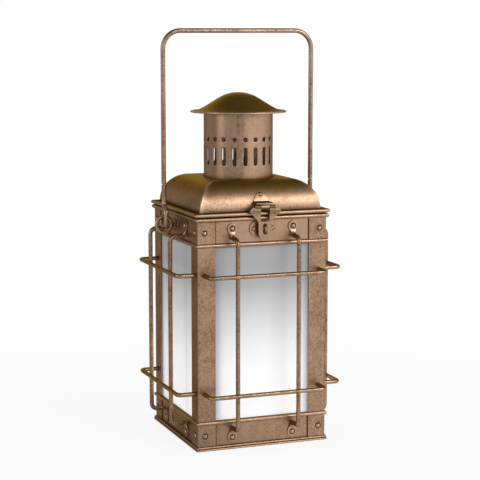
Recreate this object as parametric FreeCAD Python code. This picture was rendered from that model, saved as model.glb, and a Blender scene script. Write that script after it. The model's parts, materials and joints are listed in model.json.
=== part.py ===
import FreeCAD, Part
import math
import os

# A square candle lantern in sheet copper and wire: a glazed case with riveted corner posts and a
# wire cage, a hinged roof with a vented chimney, a hasp at the front and a swinging bail handle.
# Millimetres. +Z is up, the front faces -Y, and the origin is under the middle of the base.

V = FreeCAD.Vector
X_AXIS = V(1, 0, 0)
Y_AXIS = V(0, 1, 0)
Z_AXIS = V(0, 0, 1)
CENTRE = V(0, 0, 0)

# ---- driving dimensions -------------------------------------------------------------------------

# case
case_width = 140.0          # outside of the corner posts, square in plan
post_leg = 19.0
post_corner_round = 0.8
sheet = 1.0                 # gauge of posts, bands and roof
foot_height = 4.5
foot_overhang = 2.2
foot_inset = 9.0            # how far the foot ring reaches in under the pan
lower_band_height = 22.1
bead_height = 4.2
bead_overhang = 1.8
opening_height = 177.4      # clear height of glass between the two beads
upper_band_height = 21.7
rim_height = 4.2
rim_overhang = 2.6
edge_round = 1.2            # softened edges of foot, rim and roof flange

# glass
glass_thickness = 2.0
glass_overlap = 6.8         # hidden behind the band at top and bottom
sill_depth = 3.4
sill_drop = 4.0
corner_strip_leg = 8.0
corner_clearance = 0.3      # between the panes where they meet at a corner

# wire cage
wire = 4.5
upright_spacing = 66.0
upright_standoff = 16.5     # post face to upright centre
cross_standoff = 18.7       # post face to cross bar centre, notched over the uprights
cross_inset = 27.9          # cross bars from the top and bottom of the clear opening
cross_hole_inset = 7.7      # cross bar holes from the post corner
cross_tail = 0.8            # cross bar ends past the inside of the post
hole_clearance = 0.1
upright_bend = 6.0
cross_bend = 4.5
tab_thickness = 1.6
tab_radius = 5.1
tab_neck_inset = 0.36       # the neck is this much narrower than the eye on each side
tab_reach = 10.0            # rivet to the level of the bent wire
lower_tab_height = 12.0     # rivets of the lower tabs above the ground
upper_tab_drop = 7.1        # rivets of the upper tabs below the top of the band

# rivets
rivet_head = 5.2
rivet_head_height = 1.7
rivet_shank = 3.0
rivet_tail_height = 0.9
rivet_tail_spread = 0.8     # tail beyond the shank
curved_seat = 0.15           # extra grip of a rivet whose tail sits inside the curved roof
post_rivet_inset = 7.6

# handle
handle_wire = 4.8
handle_reach = 12.0         # centres of the legs out from the faces of the case
handle_rise = 192.5         # pivot to the centre of the grip
handle_corner = 18.5
hook_radius = 7.5
hook_tip = 2.0
hook_jog_start = 7.0
hook_jog_rise = 8.5
hook_bend = 5.0

# eye bolts that carry the handle
eye_drop = 9.1              # centres of the eyes below the top of the band
eye_radius = 8.4
eye_wire = 3.4
eye_pivot_drop = 2.4        # handle axis below the top of the eye
eye_shank = 4.0
eye_shank_inside = 4.5
rosette_radius = 8.5
rosette_thickness = 2.3
rosette_edge = 0.6
rosette_lip = 1.3
rosette_lip_inset = 1.2
rosette_hub = 2.2           # raised middle beyond the shank
nut_across_flats = 7.0
nut_thickness = 3.2

# roof
lid_gap = 0.7               # under the roof flange when shut
lid_flange_height = 3.9
lid_overhang = 3.3
lid_skirt_depth = 6.0
lid_skirt_clearance = 1.2
lid_skirt_sheet = 0.8
roof_base_inset = 4.5       # foot of the roof in from the faces of the case
roof_flat_half = 39.5
roof_rise = 30.0

# chimney and cap
chimney_radius = 36.1
chimney_sheet = 0.8
chimney_height = 68.0       # above the top of the roof
chimney_tail = 7.0          # below the top of the roof
chimney_vents = 20
vent_hole = 4.3
vent_hole_height = 39.7     # centres above the top of the roof
vent_slot_width = 3.9
vent_slot_bottom = 13.1
vent_slot_length = 18.5
vent_cut = 4.0              # reach of a vent cutter on either side of the wall
collar_width = 3.0
cap_radius = 50.0
cap_sheet = 0.8
cap_edge_wire = 1.9
cap_seat = 0.2              # edge wire below the top of the chimney
cap_dome_radius = 40.0
cap_rise = 19.4             # edge wire to the top of the dome
cap_slope = 32.0            # degrees, between dome and brim
cap_sweep = 16.0            # radius of the hollow between slope and brim
cap_brim_fall = 6.0         # degrees
bracket_count = 3
bracket_width = 7.0
bracket_sheet = 1.0
bracket_length = 16.0
bracket_gap = 0.1           # between a strap and the chimney wall

# hinge at the back
hinge_width = 46.0
hinge_knuckles = 5
hinge_pin = 2.6
hinge_barrel = 5.2
pin_clearance = 0.05
knuckle_gap = 0.35
leaf_sheet = 1.2
leaf_lift = 0.04            # keeps the flats of a curved leaf off the roof
leaf_cheek = 3.2            # straight part of a leaf above its pivot
hinge_setback = 3.0         # barrel axis behind the edge of the roof flange
hinge_rivet_drop = 10.0     # rivets of the case leaf below the top of the band
hinge_rivet_spacing = 30.0
hinge_pin_head = 1.2
case_leaf_below = 5.5       # case leaf below and above its rivets
case_leaf_above = 4.5
case_leaf_shoulder = 1.2    # where the case leaf turns up, below the rim
roof_rivet_height = 16.0    # rivets of the roof leaves above the roof flange
roof_leaf_top = 18.0
roof_leaf_foot = 9.0        # where the leaves leave the roof
roof_leaf_steps = 7

# hasp at the front
hasp_knuckle_width = 21.8
hasp_centre_knuckle = 9.0
hasp_barrel = 4.0
hasp_pin = 1.9
hasp_drop = 33.3            # pivot to the round end of the leaf
hasp_axis_above_flange = 5.4
hasp_setback = 2.6          # pivot in front of the edge of the roof flange
hasp_shoulder_half = 17.3
hasp_tongue_half = 7.0
hasp_window_half = 4.8
hasp_window_bottom = 15.0
hasp_slot_half = 2.4
hasp_slot_top = 17.0
hasp_slot_bottom = 28.2
hasp_round_steps = 12
hasp_sheet = 1.2
hasp_crank = 1.2            # the leaf bows out below its knuckles
hasp_crank_drop = 3.6
hasp_crank_end = 9.6
hasp_shoulder_top = 0.2     # drops from the pivot to the corners of the leaf's outline
hasp_shoulder_drop = 4.2
hasp_shoulder_reach = 2.0
hasp_waist_drop = 13.6
hasp_waist_reach = 1.0
hasp_tongue_drop = 16.6
upper_leaf_half = 9.6
upper_leaf_gap = 0.7        # above the knuckles
upper_leaf_tip = [(2.9, 2.6), (1.2, 3.6)]  # (half width, height above the rivet) of its blunt tip
staple_plate_half = 14.4
staple_plate_height = 16.0
staple_plate_thickness = 1.4
staple_wire = 2.6
staple_reach = 9.5
staple_rise = 8.6
staple_bend_share = 0.96    # bend radius as a share of half the loop, so a short flat stays
staple_rivet_offset = 10.2

# candle and holder
pan_sheet = 1.0
pan_rim = 4.5
saucer_radius = 34.0
saucer_height = 6.0
saucer_flare = 4.0          # the wall leans out by this much
cup_radius = 20.0
cup_sheet = 0.8
cup_height = 16.0
candle_clearance = 0.4
candle_height = 105.0
candle_crown = 4.0
wick_radius = 0.9
wick_length = 12.0
wick_buried = 8.0

# ---- levels and places worked out from them -----------------------------------------------------

half = case_width / 2
band_half = half - sheet
inner_half = band_half - sheet
handle_width = case_width + 2 * handle_reach
roof_base_half = half - roof_base_inset

z_lower_bead = foot_height + lower_band_height
z_open_bottom = z_lower_bead + bead_height
z_open_top = z_open_bottom + opening_height
z_upper_band = z_open_top + bead_height
z_rim = z_upper_band + upper_band_height
z_rim_top = z_rim + rim_height
z_lid = z_rim_top + lid_gap
z_roof = z_lid + lid_flange_height
z_roof_top = z_roof + roof_rise
z_chimney_top = z_roof_top + chimney_height

lid_half = half + lid_overhang
z_lower_tab = lower_tab_height
z_upper_tab = z_rim - upper_tab_drop
z_lower_wire = z_lower_tab + tab_reach
z_upper_wire = z_upper_tab - tab_reach
cross_levels = [z_open_bottom + cross_inset, z_open_top - cross_inset]
z_lower_rivet = (foot_height + z_lower_bead) / 2
z_upper_rivet = (z_upper_band + z_rim) / 2
eye_height = z_rim - eye_drop
z_pivot = eye_height + eye_radius - eye_pivot_drop
z_glass = z_open_bottom - glass_overlap
glass_top = z_open_top + glass_overlap

hinge_y = lid_half + hinge_setback
z_hinge = z_lid - lid_gap / 2
hasp_y = -(lid_half + hasp_setback)
z_hasp = z_roof + hasp_axis_above_flange
z_staple = z_hasp - (hasp_slot_top + hasp_slot_bottom) / 2
z_hinge_rivet = z_rim - hinge_rivet_drop
z_cap_edge = z_chimney_top - cap_seat
leaf_stack = leaf_sheet + leaf_lift


# ---- small tools --------------------------------------------------------------------------------

def box(x0, x1, y0, y1, z0, z1):
    return Part.makeBox(x1 - x0, y1 - y0, z1 - z0, V(x0, y0, z0))


def cylinder(radius, start, axis, length):
    return Part.makeCylinder(radius, length, start, axis)


def turned(shape, quarter):
    """A copy of a front piece on the next side round, one quarter turn at a time."""
    copy = shape.copy()
    copy.rotate(CENTRE, Z_AXIS, 90.0 * quarter)
    return copy


def joined(shapes):
    """One solid from overlapping or touching ones."""
    result = shapes[0]
    for shape in shapes[1:]:
        result = result.fuse(shape)
    return result.removeSplitter()


def square_ring(outer, inner, z0, z1, softened=0.0):
    """A square frame given by its outer and inner half widths, with softened outer edges."""
    block = box(-outer, outer, -outer, outer, z0, z1)
    if softened > 0:
        edges = [edge for edge in block.Edges if edge.BoundBox.ZLength < 0.01]
        block = block.makeFillet(softened, edges)
    return block.cut(box(-inner, inner, -inner, inner, z0 - 1, z1 + 1))


def bent_path(points, bends):
    """Straight runs through the points, each inner point rounded by its own bend radius."""
    edges = []
    start = points[0]
    for index, radius in enumerate(bends):
        corner = points[index + 1]
        back = (points[index] - corner).normalize()
        ahead = (points[index + 2] - corner).normalize()
        half_angle = back.getAngle(ahead) / 2
        reach = radius / math.tan(half_angle)
        first = corner + back * reach
        last = corner + ahead * reach
        middle_way = (back + ahead).normalize()
        middle = corner + middle_way * (radius / math.sin(half_angle) - radius)
        if (first - start).Length > 0.001:
            edges.append(Part.LineSegment(start, first).toShape())
        edges.append(Part.Arc(first, middle, last).toShape())
        start = last
    if (points[-1] - start).Length > 0.001:
        edges.append(Part.LineSegment(start, points[-1]).toShape())
    return Part.Wire(edges)


def bent_wire(points, bends, diameter):
    """Round wire bent along a path."""
    path = bent_path(points, bends)
    section = Part.Wire([Part.makeCircle(diameter / 2, points[0], points[1] - points[0])])
    return path.makePipeShell([section], True, False)


def revolved(profile, origin, axis):
    """A solid turned from a closed outline of (radius, height) points about an axis."""
    points = [V(radius, 0, height) for radius, height in profile]
    face = Part.Face(Part.makePolygon(points + [points[0]]))
    solid = face.revolve(CENTRE, Z_AXIS, 360)
    solid.Placement = FreeCAD.Placement(origin, FreeCAD.Rotation(Z_AXIS, axis))
    return solid


def rivet(seat, outward, grip):
    """A domed rivet: head on the seat, shank through the grip, and a low tail behind it."""
    radius = rivet_head / 2
    ball = (radius ** 2 + rivet_head_height ** 2) / (2 * rivet_head_height)
    sphere = Part.makeSphere(ball, seat - outward * (ball - rivet_head_height))
    head = sphere.common(cylinder(radius, seat, outward, rivet_head_height + 1))
    shank = cylinder(rivet_shank / 2, seat - outward * grip, outward, grip)
    tail_seat = seat - outward * (grip + rivet_tail_height)
    tail = cylinder(rivet_shank / 2 + rivet_tail_spread, tail_seat, outward, rivet_tail_height)
    return joined([head, shank, tail])


def rivet_hole(seat, outward, depth):
    return cylinder(rivet_shank / 2, seat + outward, outward * -1, depth + 2)


def outline_prism(points, y0, y1):
    """A plate outline of (x, z) points carried along Y."""
    corners = [V(x, y0, z) for x, z in points]
    face = Part.Face(Part.makePolygon(corners + [corners[0]]))
    return face.extrude(V(0, y1 - y0, 0))


def bent_strip(points, thickness, half_width):
    """Sheet bent to a line of (y, z) points, mitred at each bend, centred on X."""
    line = [V(-half_width, y, z) for y, z in points]
    runs = [(line[i + 1] - line[i]).normalize() for i in range(len(line) - 1)]
    front = []
    back = []
    for index, point in enumerate(line):
        before = runs[max(index - 1, 0)]
        after = runs[min(index, len(runs) - 1)]
        along = (before + after).normalize()
        normal = V(0, -along.z, along.y)
        reach = thickness / 2 / math.cos(before.getAngle(after) / 2)
        front.append(point + normal * reach)
        back.append(point - normal * reach)
    outline = front + list(reversed(back))
    face = Part.Face(Part.makePolygon(outline + [outline[0]]))
    return face.extrude(V(2 * half_width, 0, 0))


parts = {}


# ---- case ---------------------------------------------------------------------------------------

def make_foot_ring():
    return square_ring(half + foot_overhang, half - foot_inset, 0, foot_height, edge_round)


def make_floor_pan():
    tray = box(-inner_half, inner_half, -inner_half, inner_half, foot_height, foot_height + pan_rim)
    hollow = inner_half - pan_sheet
    inside = box(-hollow, hollow, -hollow, hollow, foot_height + pan_sheet, foot_height + pan_rim + 1)
    return tray.cut(inside)


def side_places(offset, level):
    """Front-face places of a mirrored pair of fasteners, with the quarter turn to each side."""
    places = []
    for quarter in range(4):
        for side in (-1, 1):
            seat = V(side * offset, 0, level)
            places.append((seat, quarter))
    return places


def on_side(point, depth, quarter):
    """A point given across and up a side face, at a depth out from the axis, as placed in space."""
    place = V(point.x, -depth, point.z)
    turn = FreeCAD.Rotation(Z_AXIS, 90.0 * quarter)
    return turn.multVec(place)


def outward_of(quarter):
    return FreeCAD.Rotation(Z_AXIS, 90.0 * quarter).multVec(V(0, -1, 0))


def rivet_bores():
    """Every rivet bore through the posts and bands."""
    bores = []
    for level in (z_lower_rivet, z_upper_rivet):
        for point, quarter in side_places(half - post_rivet_inset, level):
            bores.append(rivet_hole(on_side(point, half, quarter), outward_of(quarter), 2 * sheet))
    for level in (z_lower_tab, z_upper_tab):
        for point, quarter in side_places(upright_spacing / 2, level):
            bores.append(rivet_hole(on_side(point, band_half, quarter), outward_of(quarter), sheet))
    return bores


def make_band(z0, z1, bores):
    return square_ring(band_half, inner_half, z0, z1).cut(Part.makeCompound(bores))


def make_posts(bores):
    """The four angle posts, front left first and then round the case."""
    leg = box(-half, -half + post_leg, -half, -half + post_leg, foot_height, z_rim)
    corner = [edge for edge in leg.Edges if abs(edge.BoundBox.XMax + half) < 0.01
              and abs(edge.BoundBox.YMax + half) < 0.01]
    leg = leg.makeFillet(post_corner_round, corner)
    angle = leg.cut(box(-band_half, half, -band_half, half, 0, z_rim + 1))
    holes = []
    for level in cross_levels:
        centre = V(-half + cross_hole_inset, -half - 1, level)
        radius = wire / 2 + hole_clearance
        holes.append(cylinder(radius, centre, Y_AXIS, 3 * sheet))
        centre = V(-half - 1, -half + cross_hole_inset, level)
        holes.append(cylinder(radius, centre, X_AXIS, 3 * sheet))
    angle = angle.cut(Part.makeCompound(holes))
    cutters = Part.makeCompound(bores)
    return [turned(angle, quarter).cut(cutters) for quarter in range(4)]


def make_bead(z0, posts):
    """A half round bead soldered round the bands and over the posts."""
    ring = square_ring(half + bead_overhang, band_half, z0, z0 + bead_height, bead_overhang)
    return ring.cut(Part.makeCompound(posts))


def make_rim():
    return square_ring(half + rim_overhang, inner_half, z_rim, z_rim_top, edge_round)


def make_case():
    bores = rivet_bores()
    posts = make_posts(bores)
    for side in (-1, 1):
        bores.append(cylinder(eye_shank / 2, V(side * (half + 1), 0, eye_height), X_AXIS * -side, 4))
    for side in (-1, 1):
        seat = V(side * staple_rivet_offset, -band_half, z_staple)
        bores.append(rivet_hole(seat, V(0, -1, 0), sheet))
        seat = V(side * hinge_rivet_spacing / 2, band_half, z_hinge_rivet)
        bores.append(rivet_hole(seat, Y_AXIS, sheet))
    parts["foot_ring"] = make_foot_ring()
    parts["floor_pan"] = make_floor_pan()
    parts["lower_band"] = make_band(foot_height, z_open_bottom, bores)
    parts["upper_band"] = make_band(z_open_top, z_rim, bores)
    parts["lower_bead"] = make_bead(z_lower_bead, posts)
    parts["upper_bead"] = make_bead(z_open_top, posts)
    parts["case_rim"] = make_rim()
    names = ("front_left", "front_right", "back_right", "back_left")
    for name, post in zip(names, posts):
        parts["corner_post_" + name] = post


# ---- glass --------------------------------------------------------------------------------------

def make_glass():
    edge = inner_half - glass_thickness - corner_clearance
    pane = box(-edge, edge, -inner_half, -inner_half + glass_thickness, z_glass, glass_top)
    for quarter, name in enumerate(("front", "right", "back", "left")):
        parts["glass_" + name] = turned(pane, quarter)
    inside = inner_half - glass_thickness
    shelf = square_ring(inner_half, inner_half - sill_depth, z_glass - sheet, z_glass)
    drop = square_ring(inner_half, inner_half - sheet, z_glass - sheet - sill_drop, z_glass - sheet)
    parts["glass_sill"] = joined([shelf, drop])
    strip = box(-inside, -inside + corner_strip_leg, -inside, -inside + corner_strip_leg,
                z_glass, glass_top)
    gauge = inside - sheet
    strip = strip.cut(box(-gauge, 0, -gauge, 0, z_glass - 1, glass_top + 1))
    parts["glass_corner_strips"] = Part.makeCompound([turned(strip, q) for q in range(4)])


# ---- wire cage ----------------------------------------------------------------------------------

def make_tab(level, wire_level):
    """The flattened end of an upright: a round eye on the band that narrows to the wire."""
    face = -band_half
    front = face - tab_thickness
    eye = cylinder(tab_radius, V(0, face, level), V(0, -1, 0), tab_thickness)
    end = wire_level + math.copysign(wire / 2, wire_level - level)
    shoulder = tab_radius - tab_neck_inset
    neck = outline_prism([(-shoulder, level), (shoulder, level),
                          (wire / 2, end), (-wire / 2, end)], front, face)
    tab = joined([eye, neck])
    return tab.cut(rivet_hole(V(0, front, level), V(0, -1, 0), tab_thickness))


def make_upright():
    """One upright at the middle of the front: wire bent out from the bands, with a tab each end."""
    far = -half - upright_standoff
    points = [V(0, -band_half, z_lower_wire), V(0, far, z_lower_wire),
              V(0, far, z_upper_wire), V(0, -band_half, z_upper_wire)]
    run = bent_wire(points, [upright_bend, upright_bend], wire)
    return joined([run, make_tab(z_lower_tab, z_lower_wire), make_tab(z_upper_tab, z_upper_wire)])


def make_cross_bar(level, uprights):
    """One cross bar: its ends turn back through the posts, and it is notched over the uprights."""
    reach = half - cross_hole_inset
    inner_end = -band_half + cross_tail
    far = -half - cross_standoff
    points = [V(-reach, inner_end, level), V(-reach, far, level),
              V(reach, far, level), V(reach, inner_end, level)]
    return bent_wire(points, [cross_bend, cross_bend], wire).cut(uprights)


def make_cage():
    upright = make_upright()
    pair = []
    for side in (-1, 1):
        copy = upright.copy()
        copy.translate(V(side * upright_spacing / 2, 0, 0))
        pair.append(copy)
    pair = Part.makeCompound(pair)
    bars = Part.makeCompound([make_cross_bar(level, pair) for level in cross_levels])
    for quarter, name in enumerate(("front", "right", "back", "left")):
        parts["cage_uprights_" + name] = turned(pair, quarter)
        parts["cage_cross_bars_" + name] = turned(bars, quarter)


def make_rivets():
    posts = []
    for level in (z_lower_rivet, z_upper_rivet):
        for point, quarter in side_places(half - post_rivet_inset, level):
            posts.append(rivet(on_side(point, half, quarter), outward_of(quarter), 2 * sheet))
    parts["post_rivets"] = Part.makeCompound(posts)
    tabs = []
    for level in (z_lower_tab, z_upper_tab):
        for point, quarter in side_places(upright_spacing / 2, level):
            seat = on_side(point, band_half + tab_thickness, quarter)
            tabs.append(rivet(seat, outward_of(quarter), tab_thickness + sheet))
    parts["cage_rivets"] = Part.makeCompound(tabs)


# ---- handle -------------------------------------------------------------------------------------

def make_eye_bolts():
    rosettes = []
    nuts = []
    for side, name in ((-1, "left"), (1, "right")):
        out = X_AXIS * side
        centre = V(side * handle_width / 2, 0, eye_height)
        eye = Part.makeTorus(eye_radius, eye_wire / 2, centre, Y_AXIS)
        start = V(side * (inner_half - eye_shank_inside), 0, eye_height)
        length = handle_width / 2 - eye_radius - (inner_half - eye_shank_inside)
        parts["eye_bolt_" + name] = joined([eye, cylinder(eye_shank / 2, start, out, length)])
        seat = V(side * band_half, 0, eye_height)
        shank = eye_shank / 2
        profile = [(shank, 0), (rosette_radius, 0), (rosette_radius, rosette_edge),
                   (rosette_radius - rosette_lip_inset, rosette_lip),
                   (shank + rosette_hub, rosette_thickness), (shank, rosette_thickness)]
        rosettes.append(revolved(profile, seat, out))
        inside = V(side * inner_half, 0, eye_height)
        corner = nut_across_flats / math.sqrt(3)
        turns = [math.radians(60 * index) for index in range(7)]
        corners = [V(corner * math.cos(turn), corner * math.sin(turn), 0) for turn in turns]
        blank = Part.Face(Part.makePolygon(corners)).extrude(Z_AXIS * nut_thickness)
        nut = blank.cut(cylinder(shank, V(0, 0, -1), Z_AXIS, nut_thickness + 2))
        nut.Placement = FreeCAD.Placement(inside, FreeCAD.Rotation(Z_AXIS, out * -1))
        nuts.append(nut)
    parts["eye_bolt_rosettes"] = Part.makeCompound(rosettes)
    parts["eye_bolt_nuts"] = Part.makeCompound(nuts)


def make_handle():
    """One bent wire: hook, jog, leg, grip, leg, jog, hook."""
    side = handle_width / 2
    foot = [(hook_radius, z_pivot + hook_tip), (hook_radius, z_pivot - hook_radius),
            (-hook_radius, z_pivot - hook_radius), (-hook_radius, z_pivot + hook_jog_start),
            (0, z_pivot + hook_jog_start + hook_jog_rise)]
    top = z_pivot + handle_rise
    points = [V(-side, y, z) for y, z in foot] + [V(-side, 0, top), V(side, 0, top)]
    points += [V(side, y, z) for y, z in reversed(foot)]
    hook = [hook_radius, hook_radius, hook_bend, hook_bend]
    bends = hook + [handle_corner, handle_corner] + list(reversed(hook))
    parts["bail_handle"] = bent_wire(points, bends, handle_wire)


# ---- roof ---------------------------------------------------------------------------------------

def vault(base_half, flat_half, z0, rise):
    """A four sided vault: two crossed barrels whose sides are quarter ellipses."""
    across = base_half - flat_half
    barrels = []
    for direction in (X_AXIS, Y_AXIS):
        side = V(direction.y, direction.x, 0)
        shoulder = side * flat_half + V(0, 0, z0)
        reaches = sorted((side * across, V(0, 0, rise)), key=lambda reach: reach.Length)
        ellipse = Part.Ellipse(shoulder + reaches[1], shoulder + reaches[0], shoulder)
        start = ellipse.parameter(shoulder + side * across)
        end = ellipse.parameter(shoulder + V(0, 0, rise))
        low, high = sorted((start, end))
        if high - low > math.pi:
            low, high = high - 2 * math.pi, low
        curve = Part.ArcOfEllipse(ellipse, low, high).toShape()
        mirrored = curve.mirror(V(0, 0, z0), side)
        top = Part.makeLine(side * flat_half + V(0, 0, z0 + rise), side * -flat_half + V(0, 0, z0 + rise))
        bottom = Part.makeLine(side * base_half + V(0, 0, z0), side * -base_half + V(0, 0, z0))
        wire_loop = Part.Wire(Part.__sortEdges__([curve, top, mirrored, bottom]))
        face = Part.Face(wire_loop)
        face.translate(direction * -(base_half + 5))
        barrels.append(face.extrude(direction * (2 * base_half + 10)))
    return barrels[0].common(barrels[1])


def make_roof():
    flange = square_ring(lid_half, roof_base_half - sheet, z_lid, z_roof, edge_round)
    skirt_half = inner_half - lid_skirt_clearance
    skirt = square_ring(skirt_half, skirt_half - lid_skirt_sheet, z_lid - lid_skirt_depth, z_lid)
    parts["roof_flange"] = joined([flange, skirt])
    outer = vault(roof_base_half, roof_flat_half, z_roof, roof_rise)
    inner = vault(roof_base_half - sheet, roof_flat_half, z_roof, roof_rise - sheet)
    opening = cylinder(chimney_radius, V(0, 0, z_roof), Z_AXIS, roof_rise + 5)
    shell = outer.cut(inner).cut(opening)
    for y in (-1, 1):
        shell = shell.cut(roof_rivet_bore(y))
    parts["roof_shell"] = shell


def roof_side_at(height):
    """How far out the roof's side is at a height above the flange."""
    return roof_flat_half + (roof_base_half - roof_flat_half) * math.sqrt(1 - (height / roof_rise) ** 2)


def roof_slope_at(height):
    """The outward direction of the roof's front at a height, as (y, z) of unit length."""
    across = roof_base_half - roof_flat_half
    y = (roof_side_at(height) - roof_flat_half) / across ** 2
    z = height / roof_rise ** 2
    length = math.hypot(y, z)
    return y / length, z / length


def roof_rivet_place(side):
    """Seat and outward direction of a rivet on the front (-1) or back (1) of the roof."""
    y, z = roof_slope_at(roof_rivet_height)
    seat = V(0, side * roof_side_at(roof_rivet_height), z_roof + roof_rivet_height)
    return seat, V(0, side * y, z)


def roof_rivet_bore(side):
    seat, outward = roof_rivet_place(side)
    bores = []
    offsets = (0,) if side < 0 else (-hinge_rivet_spacing / 2, hinge_rivet_spacing / 2)
    for x in offsets:
        bores.append(rivet_hole(seat + V(x, 0, 0), outward, 3 * sheet))
    return Part.makeCompound(bores)


def make_chimney():
    z0 = z_roof_top - chimney_tail
    height = z_chimney_top - z0
    tube = cylinder(chimney_radius, V(0, 0, z0), Z_AXIS, height)
    tube = tube.cut(cylinder(chimney_radius - chimney_sheet, V(0, 0, z0 - 1), Z_AXIS, height + 2))
    cutters = []
    r = chimney_radius
    for index in range(chimney_vents):
        angle = 360.0 * (index + 0.5) / chimney_vents
        centre = V(0, -r + vent_cut, z_roof_top + vent_hole_height)
        hole = cylinder(vent_hole / 2, centre, V(0, -1, 0), 2 * vent_cut)
        low = z_roof_top + vent_slot_bottom + vent_slot_width / 2
        high = z_roof_top + vent_slot_bottom + vent_slot_length - vent_slot_width / 2
        w = vent_slot_width / 2
        ends = [cylinder(w, V(0, -r + vent_cut, z), V(0, -1, 0), 2 * vent_cut) for z in (low, high)]
        slot = joined([box(-w, w, -r - vent_cut, -r + vent_cut, low, high)] + ends)
        for cutter in (hole, slot):
            cutter.rotate(CENTRE, Z_AXIS, angle)
            cutters.append(cutter)
    parts["chimney"] = tube.cut(Part.makeCompound(cutters))
    z_collar = z_roof_top - sheet - chimney_sheet
    ring = cylinder(r + collar_width, V(0, 0, z_collar), Z_AXIS, chimney_sheet)
    parts["chimney_collar"] = ring.cut(cylinder(r, V(0, 0, z_collar - 1), Z_AXIS, chimney_sheet + 2))


def cap_outline(offset):
    """The cap's line from the axis to the brim, set in by an offset along its normal."""
    slope = math.radians(cap_slope)
    fall = math.radians(cap_brim_fall)
    z_edge = z_cap_edge
    dome_centre = z_edge + cap_rise - cap_dome_radius
    dome = cap_dome_radius - offset
    sweep = cap_sweep + offset
    dome_end = V(dome * math.sin(slope), 0, dome_centre + dome * math.cos(slope))
    dome_mid = V(dome * math.sin(slope / 2), 0, dome_centre + dome * math.cos(slope / 2))
    top = V(0, 0, dome_centre + dome)
    down_slope = V(math.cos(slope), 0, -math.sin(slope))
    down_brim = V(math.cos(fall), 0, -math.sin(fall))
    brim_end = V(cap_radius - cap_edge_wire / 2, 0, z_edge) - V(math.sin(fall), 0, math.cos(fall)) * offset
    gap = brim_end - dome_end
    cross = down_slope.x * down_brim.z - down_slope.z * down_brim.x
    run = (gap.x * down_brim.z - gap.z * down_brim.x) / cross
    corner = dome_end + down_slope * run
    reach = sweep * math.tan((slope - fall) / 2)
    sweep_start = corner - down_slope * reach
    sweep_end = corner + down_brim * reach
    inward = (down_brim - down_slope).normalize()
    middle = corner + inward * (sweep / math.cos((slope - fall) / 2) - sweep)
    return top, dome_mid, dome_end, sweep_start, middle, sweep_end, brim_end


def make_cap():
    """A spun cap: dome, slope, hollow sweep and brim, with a wired edge."""
    edges = []
    ends = []
    for offset in (0, cap_sheet):
        top, dome_mid, dome_end, sweep_start, middle, sweep_end, brim_end = cap_outline(offset)
        edges.append(Part.Arc(top, dome_mid, dome_end).toShape())
        edges.append(Part.makeLine(dome_end, sweep_start))
        edges.append(Part.Arc(sweep_start, middle, sweep_end).toShape())
        edges.append(Part.makeLine(sweep_end, brim_end))
        ends.append((top, brim_end))
    edges.append(Part.makeLine(ends[0][0], ends[1][0]))
    edges.append(Part.makeLine(ends[0][1], ends[1][1]))
    face = Part.Face(Part.Wire(Part.__sortEdges__(edges)))
    skin = face.revolve(CENTRE, Z_AXIS, 360)
    edge_centre = V(0, 0, z_cap_edge - cap_sheet / 2)
    rolled = Part.makeTorus(cap_radius - cap_edge_wire / 2, cap_edge_wire / 2, edge_centre, Z_AXIS)
    parts["chimney_cap"] = joined([skin, rolled])


def make_cap_brackets():
    """Three cranked straps inside the chimney that hold the cap above its top edge."""
    wall = chimney_radius - chimney_sheet
    seat = cap_underside(wall - bracket_length)
    brackets = []
    for index in range(bracket_count):
        back = -wall + bracket_gap
        foot = box(-bracket_width / 2, bracket_width / 2, back, back + bracket_sheet,
                   z_chimney_top - bracket_length, z_chimney_top)
        inset = bracket_gap + bracket_sheet / 2
        line = [(-wall + inset, z_chimney_top - inset), (-wall + bracket_length, seat)]
        arm = bent_strip(line, bracket_sheet, bracket_width / 2)
        bracket = joined([foot, arm]).cut(parts["chimney_cap"])
        bracket.rotate(CENTRE, Z_AXIS, 360.0 * index / bracket_count)
        brackets.append(bracket)
    round_wall = cylinder(wall, V(0, 0, z_roof), Z_AXIS, 2 * chimney_height)
    brackets = [bracket.common(round_wall) for bracket in brackets]
    parts["cap_brackets"] = Part.makeCompound(brackets)


def cap_underside(radius):
    """Height of the dome's underside at a radius."""
    dome_centre = z_cap_edge + cap_rise - cap_dome_radius
    dome = cap_dome_radius - cap_sheet
    return dome_centre + math.sqrt(dome ** 2 - radius ** 2)


# ---- back hinge ---------------------------------------------------------------------------------

def barrel(x0, x1, y, z, outer, bore):
    tube = cylinder(outer / 2, V(x0, y, z), X_AXIS, x1 - x0)
    return tube.cut(cylinder(bore, V(x0 - 1, y, z), X_AXIS, x1 - x0 + 2))


def leaf_with_knuckles(leaf, spans, all_spans, y, z, outer, bore):
    """A leaf cut back clear of the other leaf's knuckles and joined to its own."""
    gaps = [span for span in all_spans if span not in spans]
    for x0, x1 in gaps:
        clear = outer / 2 + knuckle_gap
        leaf = leaf.cut(cylinder(clear, V(x0 - knuckle_gap, y, z), X_AXIS, x1 - x0 + 2 * knuckle_gap))
    leaf = leaf.cut(cylinder(bore, V(-hinge_width, y, z), X_AXIS, 2 * hinge_width))
    return joined([leaf] + [barrel(x0, x1, y, z, outer, bore) for x0, x1 in spans])


def roof_leaf_line(side, axis_y, axis_z):
    """The bent line of a leaf from high on the roof down and out to a pivot, as (y, z) points."""
    line = []
    fall = (roof_leaf_top - roof_leaf_foot) / roof_leaf_steps
    for step in range(roof_leaf_steps + 1):
        height = roof_leaf_top - step * fall
        y, z = roof_slope_at(height)
        lift = leaf_sheet / 2 + leaf_lift
        line.append((side * (roof_side_at(height) + y * lift), z_roof + height + z * lift))
    line.append((axis_y, axis_z + leaf_cheek))
    line.append((axis_y, axis_z))
    return line


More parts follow.
